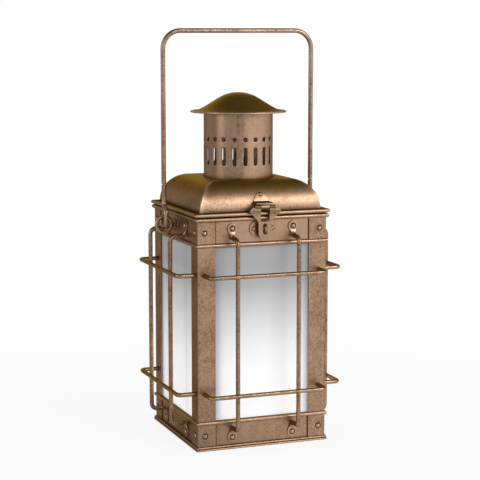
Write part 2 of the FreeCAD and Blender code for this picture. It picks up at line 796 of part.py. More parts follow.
def make_hinge():
    y = hinge_y
    z = z_hinge
    pin = hinge_pin / 2
    bore = pin + pin_clearance
    pitch = hinge_width / hinge_knuckles
    all_spans = []
    for index in range(hinge_knuckles):
        left = -hinge_width / 2 + index * pitch
        all_spans.append((left + knuckle_gap / 2, left + pitch - knuckle_gap / 2))
    lower = band_half + leaf_sheet / 2
    foot = [(lower, z_hinge_rivet - case_leaf_below), (lower, z_hinge_rivet + case_leaf_above),
            (y, z_rim - case_leaf_shoulder), (y, z)]
    case_leaf = bent_strip(foot, leaf_sheet, hinge_width / 2)
    case_leaf = leaf_with_knuckles(case_leaf, all_spans[0::2], all_spans, y, z, hinge_barrel, pin)
    roof_leaf = bent_strip(roof_leaf_line(1, y, z), leaf_sheet, hinge_width / 2)
    roof_leaf = leaf_with_knuckles(roof_leaf, all_spans[1::2], all_spans, y, z, hinge_barrel, bore)
    rivets_case = []
    rivets_roof = []
    for side in (-1, 1):
        x = side * hinge_rivet_spacing / 2
        seat = V(x, band_half + leaf_sheet, z_hinge_rivet)
        case_leaf = case_leaf.cut(rivet_hole(seat, Y_AXIS, leaf_sheet))
        rivets_case.append(rivet(seat, Y_AXIS, leaf_sheet + sheet))
        seat, outward = roof_rivet_place(1)
        seat = seat + outward * leaf_stack + V(x, 0, 0)
        roof_leaf = roof_leaf.cut(rivet_hole(seat, outward, leaf_stack))
        rivets_roof.append(rivet(seat, outward, leaf_stack + sheet + curved_seat))
    parts["hinge_case_leaf"] = case_leaf
    parts["hinge_roof_leaf"] = roof_leaf
    parts["hinge_case_rivets"] = Part.makeCompound(rivets_case)
    parts["hinge_roof_rivets"] = Part.makeCompound(rivets_roof)
    shank = cylinder(pin, V(-hinge_width / 2, y, z), X_AXIS, hinge_width)
    heads = [cylinder(hinge_barrel / 2, V(x, y, z), X_AXIS, hinge_pin_head)
             for x in (-hinge_width / 2 - hinge_pin_head, hinge_width / 2)]
    parts["hinge_pin"] = joined([shank] + heads)


# ---- hasp ---------------------------------------------------------------------------------------

def make_hasp():
    y = hasp_y
    z = z_hasp
    pin = hasp_pin / 2
    bore = pin + pin_clearance
    edge = hasp_knuckle_width / 2
    middle = hasp_centre_knuckle / 2
    spans = [(-edge, -middle - knuckle_gap), (-middle, middle), (middle + knuckle_gap, edge)]

    upper = bent_strip(roof_leaf_line(-1, y, z), leaf_sheet, upper_leaf_half)
    top = z_roof + roof_rivet_height
    low = z + hasp_barrel / 2 + upper_leaf_gap
    right = [(x, top + rise) for x, rise in reversed(upper_leaf_tip)]
    right += [(upper_leaf_half, low), (middle, low), (middle, z - hasp_barrel)]
    triangle = [(-x, level) for x, level in reversed(right)] + right
    upper = upper.common(outline_prism(triangle, y - 10, 0))
    upper = leaf_with_knuckles(upper, spans[1:2], spans, y, z, hasp_barrel, pin)
    seat, outward = roof_rivet_place(-1)
    seat = seat + outward * leaf_stack
    parts["hasp_upper_leaf"] = upper.cut(rivet_hole(seat, outward, leaf_stack))
    parts["hasp_roof_rivet"] = rivet(seat, outward, leaf_stack + sheet + curved_seat)

    line = [(y, z), (y - hasp_crank, z - hasp_crank_drop), (y, z - hasp_crank_end),
            (y, z - hasp_drop)]
    strip = bent_strip(line, hasp_sheet, hasp_shoulder_half)
    shoulder = hasp_shoulder_half
    tongue = hasp_tongue_half
    rounding = z - hasp_drop + tongue
    outline = [(-edge, z + hasp_sheet), (-edge - hasp_shoulder_reach, z - hasp_shoulder_top),
               (-shoulder, z - hasp_shoulder_drop), (-tongue - hasp_waist_reach, z - hasp_waist_drop),
               (-tongue, z - hasp_tongue_drop), (-tongue, rounding)]
    corners = len(outline)
    for step in range(1, hasp_round_steps):
        angle = math.pi * step / hasp_round_steps
        outline.append((-tongue * math.cos(angle), rounding - tongue * math.sin(angle)))
    outline += [(-x, level) for x, level in reversed(outline[:corners])]
    leaf = strip.common(outline_prism(outline, y - 5, y + 5))
    window = box(-hasp_window_half, hasp_window_half, y - 5, y + 5, z - hasp_window_bottom, z + 3)
    slot_low = z - hasp_slot_bottom + hasp_slot_half
    slot_high = z - hasp_slot_top - hasp_slot_half
    slot_ends = [cylinder(hasp_slot_half, V(0, y - 5, level), Y_AXIS, 10) for level in (slot_low, slot_high)]
    slot = joined([box(-hasp_slot_half, hasp_slot_half, y - 5, y + 5, slot_low, slot_high)] + slot_ends)
    leaf = leaf.cut(window).cut(slot)
    leaf = leaf_with_knuckles(leaf, spans[0::2], spans, y, z, hasp_barrel, bore)
    parts["hasp_leaf"] = leaf
    parts["hasp_pin"] = cylinder(pin, V(-edge, y, z), X_AXIS, 2 * edge)

    face = -band_half
    back = face - staple_plate_thickness
    round_end = staple_plate_height / 2
    straight = staple_plate_half - round_end
    plate = box(-straight, straight, back, face, z_staple - round_end, z_staple + round_end)
    ends = [cylinder(round_end, V(x, face, z_staple), V(0, -1, 0), staple_plate_thickness)
            for x in (-straight, straight)]
    plate = joined([plate] + ends)
    rivets = []
    for side in (-1, 1):
        seat = V(side * staple_rivet_offset, back, z_staple)
        plate = plate.cut(rivet_hole(seat, V(0, -1, 0), staple_plate_thickness))
        rivets.append(rivet(seat, V(0, -1, 0), staple_plate_thickness + sheet))
    rise = staple_rise / 2 - staple_wire / 2
    tip = back - staple_reach + staple_wire / 2
    path = [V(0, back, z_staple - rise), V(0, tip, z_staple - rise),
            V(0, tip, z_staple + rise), V(0, back, z_staple + rise)]
    bend = rise * staple_bend_share
    parts["staple"] = bent_wire(path, [bend, bend], staple_wire)
    parts["staple_plate"] = plate
    parts["staple_rivets"] = Part.makeCompound(rivets)


# ---- candle -------------------------------------------------------------------------------------

def make_candle():
    z0 = foot_height + pan_sheet
    foot = saucer_radius - saucer_flare
    inner_foot = foot - pan_sheet * (1 - saucer_flare / saucer_height)
    saucer = [(0, 0), (foot, 0), (saucer_radius, saucer_height),
              (saucer_radius - pan_sheet, saucer_height), (inner_foot, pan_sheet), (0, pan_sheet)]
    parts["candle_saucer"] = revolved(saucer, V(0, 0, z0), Z_AXIS)
    z_cup = z0 + pan_sheet
    cup = cylinder(cup_radius, V(0, 0, z_cup), Z_AXIS, cup_height)
    bore = cylinder(cup_radius - cup_sheet, V(0, 0, z_cup + cup_sheet), Z_AXIS, cup_height)
    parts["candle_cup"] = cup.cut(bore)
    radius = cup_radius - cup_sheet - candle_clearance
    z_candle = z_cup + cup_sheet
    body = cylinder(radius, V(0, 0, z_candle), Z_AXIS, candle_height)
    crown = Part.makeCone(radius, radius - candle_crown, candle_crown,
                          V(0, 0, z_candle + candle_height), Z_AXIS)
    top = z_candle + candle_height + candle_crown
    wick = cylinder(wick_radius, V(0, 0, top - wick_buried), Z_AXIS, wick_buried + wick_length)
    parts["candle"] = joined([body, crown]).cut(wick)
    parts["candle_wick"] = wick


make_case()
make_glass()
make_cage()
make_rivets()
make_eye_bolts()
make_handle()
make_roof()
make_chimney()
make_cap()
make_cap_brackets()
make_hinge()
make_hasp()
make_candle()

os.makedirs("parts", exist_ok=True)
for name, shape in parts.items():
    shape.exportStep("parts/" + name + ".step")
    print(name, len(shape.Solids), round(shape.Volume, 1), shape.isValid())
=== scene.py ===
import json
import math

import bmesh
import bpy
import numpy as np
from bpy.props import FloatProperty, FloatVectorProperty, PointerProperty
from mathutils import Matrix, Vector


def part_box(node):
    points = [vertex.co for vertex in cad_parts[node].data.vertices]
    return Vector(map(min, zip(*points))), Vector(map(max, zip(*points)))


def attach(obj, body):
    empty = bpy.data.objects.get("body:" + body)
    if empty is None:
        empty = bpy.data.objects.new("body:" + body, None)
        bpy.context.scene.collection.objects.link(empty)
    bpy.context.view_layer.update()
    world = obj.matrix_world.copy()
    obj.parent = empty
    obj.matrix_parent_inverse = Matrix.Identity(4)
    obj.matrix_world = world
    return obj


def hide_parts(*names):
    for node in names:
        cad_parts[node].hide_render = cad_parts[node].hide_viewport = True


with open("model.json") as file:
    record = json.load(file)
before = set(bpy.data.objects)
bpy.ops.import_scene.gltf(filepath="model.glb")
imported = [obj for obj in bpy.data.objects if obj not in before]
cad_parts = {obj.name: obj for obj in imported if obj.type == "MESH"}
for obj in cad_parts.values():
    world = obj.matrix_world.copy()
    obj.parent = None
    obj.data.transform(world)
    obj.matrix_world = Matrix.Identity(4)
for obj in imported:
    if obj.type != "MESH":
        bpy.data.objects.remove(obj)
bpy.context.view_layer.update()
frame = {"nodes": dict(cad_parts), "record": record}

# The looks of a square candle lantern in aged copper: wires, sheet, rivets and frosted glass built
# around the working model. Metres, +Z up, the front faces -Y.

bl_info = {
    "name": "Candle lantern",
    "version": (1, 0, 0),
    "blender": (4, 5, 0),
    "location": "View3D > Sidebar > Lantern",
    "description": "Builds the pieces and finishes of a square copper candle lantern",
    "category": "Add Mesh",
}

MM = 0.001
SIDES = ("front", "right", "back", "left")
CORNERS = ("front_left", "front_right", "back_right", "back_left")
SLOT_OF = {row["node"]: row["material_slot"] for row in frame["record"]["subparts"]}


def low_of(node):
    return np.array(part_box(node)[0])


def high_of(node):
    return np.array(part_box(node)[1])


# ---- sizes and colours a user would change -------------------------------------------------------

def length(name, description, default):
    return FloatProperty(name=name, description=description, default=default, unit="LENGTH")


def colour(name, description, default):
    return FloatVectorProperty(name=name, description=description, default=default,
                               subtype="COLOR", size=3, min=0.0, max=1.0)


class LanternSizes(bpy.types.PropertyGroup):
    cage_wire: length("Cage wire", "Diameter of the cage wire", 4.5 * MM)
    tab_sheet: length("Tab thickness", "Thickness of the flattened wire ends", 1.6 * MM)
    tab_fold: length("Tab fold", "Bend radius where a tab leaves the band", 2.6 * MM)
    upright_bend: length("Upright bend", "Bend radius at the ends of an upright", 6.0 * MM)
    cross_bend: length("Cross bar bend", "Bend radius at the ends of a cross bar", 4.5 * MM)
    handle_wire: length("Handle wire", "Diameter of the handle wire", 4.8 * MM)
    handle_corner: length("Handle corner", "Bend radius at the top of the handle", 18.5 * MM)
    hook_radius: length("Hook radius", "Radius of the hooks that hold the handle", 7.5 * MM)
    eye_wire: length("Eye wire", "Diameter of the wire of an eye bolt", 3.4 * MM)
    rivet_radius: length("Rivet radius", "Radius of a rivet head", 2.6 * MM)
    rivet_height: length("Rivet height", "Height of a rivet head", 1.7 * MM)
    sheet: length("Sheet", "Gauge of the sheet metal", 1.0 * MM)
    chimney_sheet: length("Chimney sheet", "Gauge of the chimney and its cap", 0.8 * MM)
    edge_width: length("Worn edge", "Width of the worn edge of cut sheet", 0.25 * MM)


class LanternColours(bpy.types.PropertyGroup):
    copper_light: colour("Light copper", "Rubbed copper", (0.47, 0.302, 0.203))
    copper_dark: colour("Dark copper", "Copper in the darker clouds of the finish", (0.205, 0.118, 0.055))
    # painted shade: this olive-brown oxide on faces that look up also stands in for the dark ceiling that they reflect
    patina_and_top_shade: colour("Patina", "Olive brown patina on faces that look up", (0.215, 0.125, 0.013))
    # painted shade: this dark colour, with some real lacquer, goes into corners, recesses, round rivets and on
    # undersides
    grime_and_shade: colour("Grime", "Dark lacquer left in corners and round rivets", (0.040, 0.022, 0.004))
    # painted highlight: this bright copper, with some real rubbing, goes on crests, rolled lips, rivet crowns and
    # flattened wire
    worn_and_highlit: colour("Worn copper", "Bright copper on worn edges", (0.70, 0.49, 0.35))
    # painted shade: the grey of the upper glass stands for the roof's shade on it
    glass_top: colour("Upper glass", "Frosted glass under the roof", (0.46, 0.46, 0.462))
    glass_foot: colour("Lower glass", "Frosted glass near the foot", (0.93, 0.93, 0.935))
    wax: colour("Wax", "Candle wax", (0.86, 0.80, 0.66))


# ---- shader graphs -------------------------------------------------------------------------------

class Value:
    """A shader socket that takes part in Python arithmetic: each operator adds a Math node."""

    def __init__(self, graph, socket):
        self.graph = graph
        self.socket = socket

    def math(self, operation, *others):
        return self.graph.add("ShaderNodeMath", {"operation": operation}, [self, *others])

    def __add__(self, other):
        return self.math("ADD", other)

    def __sub__(self, other):
        return self.math("SUBTRACT", other)

    def __rsub__(self, other):
        return self.graph.add("ShaderNodeMath", {"operation": "SUBTRACT"}, [other, self])

    def __mul__(self, other):
        return self.math("MULTIPLY", other)

    def __truediv__(self, other):
        return self.math("DIVIDE", other)

    __radd__ = __add__
    __rmul__ = __mul__

    def between(self, low, high):
        """0 below low, 1 above high and a smooth rise between them."""
        return self.graph.add("ShaderNodeMapRange", {"interpolation_type": "SMOOTHSTEP"},
                              {"Value": self, "From Min": low, "From Max": high})


class Graph:
    """The node tree of one material or of the world."""

    def __init__(self, tree):
        self.tree = tree
        tree.nodes.clear()

    def add(self, kind, settings=None, sockets=None, output=0):
        """Adds a node: settings first, then a value or link for each socket; gives one output."""
        node = self.tree.nodes.new(kind)
        for key, value in (settings or {}).items():
            setattr(node, key, value)
        pairs = sockets.items() if isinstance(sockets, dict) else enumerate(sockets or [])
        for key, value in pairs:
            if isinstance(value, Value):
                self.tree.links.new(value.socket, node.inputs[key])
            else:
                node.inputs[key].default_value = value
        return Value(self, node.outputs[output]) if len(node.outputs) else node

    def mix(self, factor, first, second):
        """A colour between two others."""
        ends = [colour if isinstance(colour, Value) else (*colour, 1.0) for colour in (first, second)]
        return self.add("ShaderNodeMix", {"data_type": "RGBA"}, {0: factor, 6: ends[0], 7: ends[1]}, 2)

    def noise(self, place, size, detail=3.0, stretch=None):
        """Noise whose blotches are about this size, from 0 to 1."""
        if stretch:
            place = self.add("ShaderNodeVectorMath", {"operation": "MULTIPLY"}, [place, stretch])
        return self.add("ShaderNodeTexNoise", None,
                        {"Vector": place, "Scale": 1 / size, "Detail": detail, "Roughness": 0.6})

    def place(self):
        """Where a point is on the object."""
        return self.add("ShaderNodeTexCoord", None, None, "Object")

    def attribute(self, name):
        """A tint value that a new piece carries; it is 0 on pieces that have none."""
        return self.add("ShaderNodeAttribute", {"attribute_name": name}, None, "Fac")


def new_material(name):
    material = bpy.data.materials.new(name)
    material.use_nodes = True
    return material, Graph(material.node_tree)


def close_material(graph, sockets):
    """Puts the finished values into one Principled shader and its output."""
    shader = graph.add("ShaderNodeBsdfPrincipled", None, sockets)
    graph.add("ShaderNodeOutputMaterial", None, {"Surface": shader})


EDGE_TINT = (0.62, 0.48, 0.36, 1.0)      # what copper reflects at a grazing angle


def copper(name, colours, tone, roughness, streak=0.0, spread=1.0, seam=None):
    """Aged copper: large clouds, fine speckle, olive-brown oxide with painted shade where it looks up, rubbed places
    with a painted highlight, and dirty places with painted shade.

    The tone lifts or lowers the balance of light and dark copper, spread is how strong the
    mottling is, and streak adds upright burnishing marks of a rolled sheet. Painted shade, with
    some dark lacquer, lies in the seam beside a corner post, which is this far from the middle of a side."""
    material, graph = new_material(name)
    place = graph.place()
    clouds = graph.noise(place, 32 * MM, 4.0)
    mottle = graph.noise(place, 6 * MM, 2.0)
    grain = graph.noise(place, 1.5 * MM, 3.0)
    dark = ((clouds - 0.5) * 1.3 + (mottle - 0.5) * 0.9 + (grain - 0.5) * 2.2) * spread + (1 - tone)
    if streak:
        marks = graph.noise(place, 7 * MM, 2.0, (1.0, 1.0, 0.06))
        dark = dark + (marks - 0.5) * streak
    base = graph.mix(dark.between(0.0, 1.0), colours.copper_light, colours.copper_dark)
    # painted shade: faces that look up turn olive-brown and rougher, an oxide that also stands in for the dark ceiling
    # that they reflect
    normal = graph.add("ShaderNodeTexCoord", None, None, "Normal")
    up = graph.add("ShaderNodeSeparateXYZ", None, [normal], 2)
    up_oxide_and_shade = (up + (clouds - 0.5) * 0.3).between(0.30, 0.80)
    base = graph.mix(up_oxide_and_shade * 0.86, base, colours.patina_and_top_shade)
    # painted shade, with some dark lacquer, along the edge of each corner post
    if seam:
        base = graph.mix(post_edge_shade_and_lacquer(graph, place, seam) * 0.95, base, colours.grime_and_shade)
    # painted shade with some dark lacquer, where a piece carries it in corners and recesses
    base = graph.mix(graph.attribute("grime_and_shade"), base, colours.grime_and_shade)
    # painted highlight with rubbed bright copper, where a piece carries it on crests and edges
    base = graph.mix(graph.attribute("wear_and_highlight") * (1.15 - grain * 0.7), base, colours.worn_and_highlit)
    uneven = ((clouds - 0.5) * 0.2 + (grain - 0.5) * 0.3) * spread
    shine = roughness + uneven + up_oxide_and_shade * 0.16 + graph.attribute("grime_and_shade") * 0.2
    height = grain * 0.5 + mottle * 1.1
    bump = graph.add("ShaderNodeBump", None, {"Strength": 0.35, "Distance": 0.15 * MM, "Height": height})
    close_material(graph, {"Base Color": base, "Roughness": shine, "Metallic": 1.0, "Normal": bump,
                           "Specular Tint": EDGE_TINT})
    return material


def post_edge_shade_and_lacquer(graph, place, seam):
    """1 along the seam beside each corner post and 0 away from it, on all four sides: where painted shade, with some
    dark lacquer, lies along a post's edge.
    """
    across = graph.add("ShaderNodeVectorMath", {"operation": "ABSOLUTE"}, [place])
    x = graph.add("ShaderNodeSeparateXYZ", None, [across], 0)
    y = graph.add("ShaderNodeSeparateXYZ", None, [across], 1)
    off = (x.math("MINIMUM", y) - seam).math("ABSOLUTE")
    return 1 - off.between(0.45 * MM, 1.25 * MM)


def worn_edge_highlight(colours):
    """Cut edges of the sheet, rubbed bright with darker nicks; the bright copper is also a painted highlight along each
    edge.
    """
    material, graph = new_material("worn_edge_highlight")
    nicks = graph.noise(graph.place(), 2.5 * MM, 3.0)
    base = graph.mix(nicks.between(0.35, 0.75), colours.worn_and_highlit, colours.copper_dark)
    close_material(graph, {"Base Color": base, "Roughness": 0.3 + nicks * 0.2, "Metallic": 1.0,
                           "Specular Tint": EDGE_TINT})
    return material


STRIP_SHADE = (0.30, 0.325, 0.36)         # painted shade of the lead strips behind the edges of a pane, seen through the frosted glass


def frosted_glass(colours):
    """Acid-etched glass with a faint cloudiness: grey with painted shade under the roof, bright near the foot where it
    gives off painted light as if lit from behind, with painted shade of the strips behind its edges.
    """
    material, graph = new_material("frosted_glass")
    place = graph.place()
    low = low_of("glass_front")
    high = high_of("glass_front")
    height = graph.add("ShaderNodeSeparateXYZ", None, [place], 2)
    cloud = graph.noise(place, 45 * MM, 3.0)
    frost = graph.noise(place, 0.5 * MM, 2.0)
    # painted shade: the glass greys towards the roof, which shades it
    rise = ((height - low[2]) / (high[2] - low[2]) + (cloud - 0.5) * 0.06).between(0.12, 0.95)
    base = graph.mix(rise, colours.glass_foot, colours.glass_top)
    # painted shade of the lead strips behind the pane, seen through the frosted glass near each edge
    across = graph.add("ShaderNodeVectorMath", {"operation": "ABSOLUTE"}, [place])
    x = graph.add("ShaderNodeSeparateXYZ", None, [across], 0)
    y = graph.add("ShaderNodeSeparateXYZ", None, [across], 1)
    clear = -low_of("corner_post_front_left")[0] - 19 * MM
    edge = x.math("MINIMUM", y).between(clear - 9 * MM, clear - 1 * MM)
    base = graph.mix(edge * 0.45, base, STRIP_SHADE)
    # painted light: the glass gives off light as if lit from behind, most near the foot and least at the pane edges
    painted_glow = graph.mix(rise, (1.0, 1.0, 1.0), (0.0, 0.0, 0.0))
    painted_glow = graph.mix(edge * 0.6, painted_glow, (0.0, 0.0, 0.0))
    bump = graph.add("ShaderNodeBump", None, {"Strength": 0.15, "Distance": 0.05 * MM, "Height": frost})
    close_material(graph, {"Base Color": base, "Roughness": 0.42 + frost * 0.16, "Normal": bump,
                           "Coat Weight": 0.15, "Emission Color": painted_glow, "Emission Strength": 0.30})
    return material


def candle_wax(colours):
    """Wax with a soft cloudiness and a slightly yellowed top."""
    material, graph = new_material("candle_wax")
    place = graph.place()
    cloud = graph.noise(place, 18 * MM, 3.0)
    shade = tuple(channel * 0.82 for channel in colours.wax)
    base = graph.mix(cloud.between(0.3, 0.8), colours.wax, shade)
    bump = graph.add("ShaderNodeBump", None, {"Strength": 0.2, "Distance": 0.2 * MM, "Height": cloud})
    close_material(graph, {"Base Color": base, "Roughness": 0.4 + cloud * 0.15, "Normal": bump,
                           "Subsurface Weight": 0.25, "Subsurface Scale": 4 * MM})
    return material


def cotton_wick():
    """Braided cotton, charred towards its tip."""
    material, graph = new_material("cotton_wick")
    place = graph.place()
    height = graph.add("ShaderNodeSeparateXYZ", None, [place], 2)
    top = high_of("candle_wick")[2]
    charred = height.between(top - 9 * MM, top - 4 * MM)
    braid = graph.noise(place, 0.5 * MM, 2.0)
    base = graph.mix(charred, (0.62, 0.56, 0.45), (0.015, 0.012, 0.01))
    bump = graph.add("ShaderNodeBump", None, {"Strength": 0.6, "Distance": 0.2 * MM, "Height": braid})
    close_material(graph, {"Base Color": base, "Roughness": 0.75 + braid * 0.2, "Normal": bump})
    return material


def make_finishes(colours):
    """One material for each material slot of the record, and some for single pieces."""
    seam = -high_of("corner_post_front_left")[0] - 0.3 * MM
    made = {
        "case_copper": copper("case_copper", colours, 0.62, 0.36, spread=0.7),
        "lower_band_copper": copper("lower_band_copper", colours, 0.63, 0.36, spread=0.65, seam=seam),
        "upper_band_copper": copper("upper_band_copper", colours, 0.82, 0.36, spread=0.65, seam=seam),
        "roof_copper": copper("roof_copper", colours, 0.70, 0.37, spread=0.6),
        "wire_copper": copper("wire_copper", colours, 0.62, 0.32),
        "fittings_copper": copper("fittings_copper", colours, 0.76, 0.32),
        "chimney_copper": copper("chimney_copper", colours, 0.84, 0.36, 1.3, 0.7),
        "frosted_glass": frosted_glass(colours),
        "wax": candle_wax(colours),
        "wick": cotton_wick(),
        "worn_edge_highlight": worn_edge_highlight(colours),
    }
    return made


# ---- surfaces ------------------------------------------------------------------------------------

class Surface:
    """Grids of points gathered into one mesh, with two values at each point: rubbed bright copper with a painted
    highlight, and dark lacquer with painted shade.
    """

    def __init__(self):
        self.points = []
        self.faces = []
        self.wear_and_highlight = []
        self.grime_and_shade = []
        self.count = 0

    def grid(self, points, wear_and_highlight=0.0, grime_and_shade=0.0, round_rows=False, round_columns=True, caps=False):
        """Joins a rows x columns grid of points with four-sided faces. round_rows and
        round_columns close the grid on itself, and caps fills its first and last row."""
        rows, columns = points.shape[:2]
        index = self.count + np.arange(rows * columns).reshape(rows, columns)
        down = np.roll(index, -1, axis=0) if round_rows else index[1:]
        here = index if round_rows else index[:-1]
        if round_columns:
            quads = np.stack([here, np.roll(here, -1, 1), np.roll(down, -1, 1), down], axis=-1)
        else:
            quads = np.stack([here[:, :-1], here[:, 1:], down[:, 1:], down[:, :-1]], axis=-1)
        self.faces += quads.reshape(-1, 4).tolist()
        if caps:
            self.faces += [index[0][::-1].tolist(), index[-1].tolist()]
        self.points.append(points.reshape(-1, 3))
        self.wear_and_highlight.append(np.broadcast_to(wear_and_highlight, (rows, columns)).reshape(-1))
        self.grime_and_shade.append(np.broadcast_to(grime_and_shade, (rows, columns)).reshape(-1))
        self.count += rows * columns

    def piece(self, name, body, finish, replaces=(), slot=None, smooth=35.0):
        """Makes the object: doubles merged, faces outwards, sharp only past the smooth angle."""
        mesh = bpy.data.meshes.new(name)
        mesh.from_pydata(np.concatenate(self.points).tolist(), [], self.faces)
        for label, values in (("wear_and_highlight", self.wear_and_highlight), ("grime_and_shade", self.grime_and_shade)):
            layer = mesh.attributes.new(label, "FLOAT", "POINT")
            layer.data.foreach_set("value", np.concatenate(values).astype(np.float32))
        clean(mesh, 0.004 * MM)
        return finish_piece(name, mesh, body, finish, replaces, smooth)


def clean(mesh, distance, flat=None):
    """Merges doubles, joins coplanar triangles where flat is an angle, and turns faces outwards."""
    work = bmesh.new()
    work.from_mesh(mesh)
    bmesh.ops.remove_doubles(work, verts=work.verts, dist=distance)
    if flat:
        bmesh.ops.dissolve_limit(work, angle_limit=flat, verts=work.verts, edges=work.edges)
    bmesh.ops.recalc_face_normals(work, faces=work.faces)
    work.to_mesh(mesh)
    work.free()


def finish_piece(name, mesh, body, finish, replaces, smooth):
    for polygon_mesh in (mesh,):
        polygon_mesh.shade_smooth()
        polygon_mesh.set_sharp_from_angle(angle=math.radians(smooth))
    piece = bpy.data.objects.new(name, mesh)
    bpy.context.scene.collection.objects.link(piece)
    for material in finish:
        mesh.materials.append(material)
    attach(piece, body)
    if replaces:
        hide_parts(*replaces)
    return piece


def unit(vectors):
    return vectors / np.linalg.norm(vectors, axis=-1, keepdims=True)


def turned(points, quarter):
    """Points carried round the upright axis by a number of quarter turns."""
    cosine, sine = ((1, 0), (0, 1), (-1, 0), (0, -1))[quarter % 4]
    x, y, z = np.moveaxis(points, -1, 0)
    return np.stack([x * cosine - y * sine, x * sine + y * cosine, z], axis=-1)


def rounded_path(corners, radii, step):
    """A line through the corners, each inner one rounded by its radius, at an even step.

    Each arc is centre + radius * (cos, sin) in the plane of its two runs."""
    corners = np.asarray(corners, float)
    line = [corners[:1]]
    for corner, before, after, radius in zip(corners[1:-1], corners, corners[2:], radii):
        back, ahead = unit(before - corner), unit(after - corner)
        half = math.acos(np.clip(back @ ahead, -1, 1)) / 2
        centre = corner + unit(back + ahead) * radius / math.sin(half)
        first = corner + back * radius / math.tan(half)
        arm = unit(first - centre)
        along = -back
        sweep = np.linspace(0, math.pi - 2 * half, 13)[:, None]
        line.append(centre + radius * (np.cos(sweep) * arm + np.sin(sweep) * along))
    line.append(corners[-1:])
    line = np.concatenate(line)
    run = np.concatenate([[0], np.cumsum(np.linalg.norm(np.diff(line, axis=0), axis=1))])
    even = np.linspace(0, run[-1], max(int(run[-1] / step), 2))
    return np.stack([np.interp(even, run, line[:, axis]) for axis in range(3)], axis=-1), even


def carried(path, side, across, through, squareness=2.0, segments=16):
    """A section carried along a path: path + across * C * side + through * S * normal, where
    (C, S) is a superellipse of the given squareness, and normal is square to side and path."""
    along = unit(np.gradient(path, axis=0))
    side = unit(np.broadcast_to(side, path.shape))
    normal = unit(np.cross(side, along))
    angle = np.linspace(0, 2 * math.pi, segments, endpoint=False)
    power = 2 / np.broadcast_to(squareness, len(path))[:, None]
    cosine = np.sign(np.cos(angle)) * np.abs(np.cos(angle)) ** power
    sine = np.sign(np.sin(angle)) * np.abs(np.sin(angle)) ** power
    across = np.broadcast_to(across, len(path))[:, None]
    through = np.broadcast_to(through, len(path))[:, None]
    wide = (across * cosine)[..., None] * side[:, None]
    deep = (through * sine)[..., None] * normal[:, None]
    return path[:, None] + wide + deep


def smoothstep(values, low, high):
    share = np.clip((values - low) / (high - low), 0, 1)
    return share * share * (3 - 2 * share)


def revolved(profile, centre, axis, segments):
    """A profile of (radius, height) pairs turned about an axis: centre + height * axis
    + radius * (cos * first + sin * second)."""
    profile = np.asarray(profile, float)
    axis = unit(np.asarray(axis, float))
    first = unit(np.cross(axis, (0.31, 0.87, 0.12)))
    second = np.cross(axis, first)
    angle = np.linspace(0, 2 * math.pi, segments, endpoint=False)[:, None]
    circle = np.cos(angle) * first + np.sin(angle) * second
    return np.asarray(centre) + profile[:, 1, None, None] * axis + profile[:, 0, None, None] * circle


def arc(centre, radius, start, end, steps):
    """Points of a flat arc between two angles in degrees."""
    angle = np.radians(np.linspace(start, end, steps))
    return np.stack([centre[0] + radius * np.cos(angle), centre[1] + radius * np.sin(angle)], axis=-1)


def square_frame(profile, corner, wave=0.0, phase=0.0, runs=40):
    """A profile of (reach, height) pairs carried round a square whose corners are arcs of the
    corner radius. The wave lifts it by a slow sum of sines, as on hand-dressed sheet."""
    profile = np.asarray(profile, float)
    reach = profile[:, 0, None]
    radius = np.full_like(reach, corner)
    share = np.linspace(-1, 1, runs)
    side_x = share * (reach - radius)
    side_y = np.broadcast_to(-reach, side_x.shape)
    arcs = np.radians(np.linspace(-90, 0, 7))[1:-1]
    bend_x = (reach - radius) + radius * np.cos(arcs)
    bend_y = -(reach - radius) + radius * np.sin(arcs)
    quarter = np.stack([np.concatenate([side_x, bend_x], 1), np.concatenate([side_y, bend_y], 1)], -1)
    height = np.broadcast_to(profile[:, 1, None], quarter.shape[:2])
    quarter = np.concatenate([quarter, height[..., None]], axis=-1)
    ring = np.concatenate([turned(quarter, turn) for turn in range(4)], axis=1)
    if wave:
        x, y = ring[..., 0], ring[..., 1]
        slow = np.sin(x / 0.017 + phase) + np.sin(y / 0.021 + 1.3 + phase) + np.sin((x + y) / 0.009)
        ring[..., 2] += wave * slow / 3
    return ring


def dome(surface, seat, outward, radius, height, segments=22):
    """A rivet head: a flat collar darkened with painted shade and some dark lacquer, and a cap that is an arc of a
    sphere, rubbed bright with a painted highlight towards its crown.
    """
    ball = (radius ** 2 + height ** 2) / (2 * height)
    half_angle = math.asin(min(radius / ball, 1.0))
    angle = np.linspace(half_angle, 0, 7)
    cap = np.stack([ball * np.sin(angle), ball * np.cos(angle) - ball + height], axis=-1)
    collar = 1.26 * radius
    skirt = 0.06 * MM
    foot = [(0, -0.3 * MM), (collar, -0.3 * MM), (collar, skirt), (radius * 1.02, skirt * 1.2)]
    profile = np.concatenate([foot, cap])
    # painted highlight with rubbing, rising towards the crown; painted shade with some lacquer on the collar and round
    # the foot of the cap
    worn_and_highlit = np.concatenate([np.zeros(4), np.linspace(0.0, 0.75, 7)])[:, None]
    grime_and_shade_share = np.array([1, 1, 0.75, 1.0, 0.55, 0.1, 0, 0, 0, 0, 0])[:, None]
    surface.grid(revolved(profile, seat, outward, segments), worn_and_highlit, grime_and_shade_share)


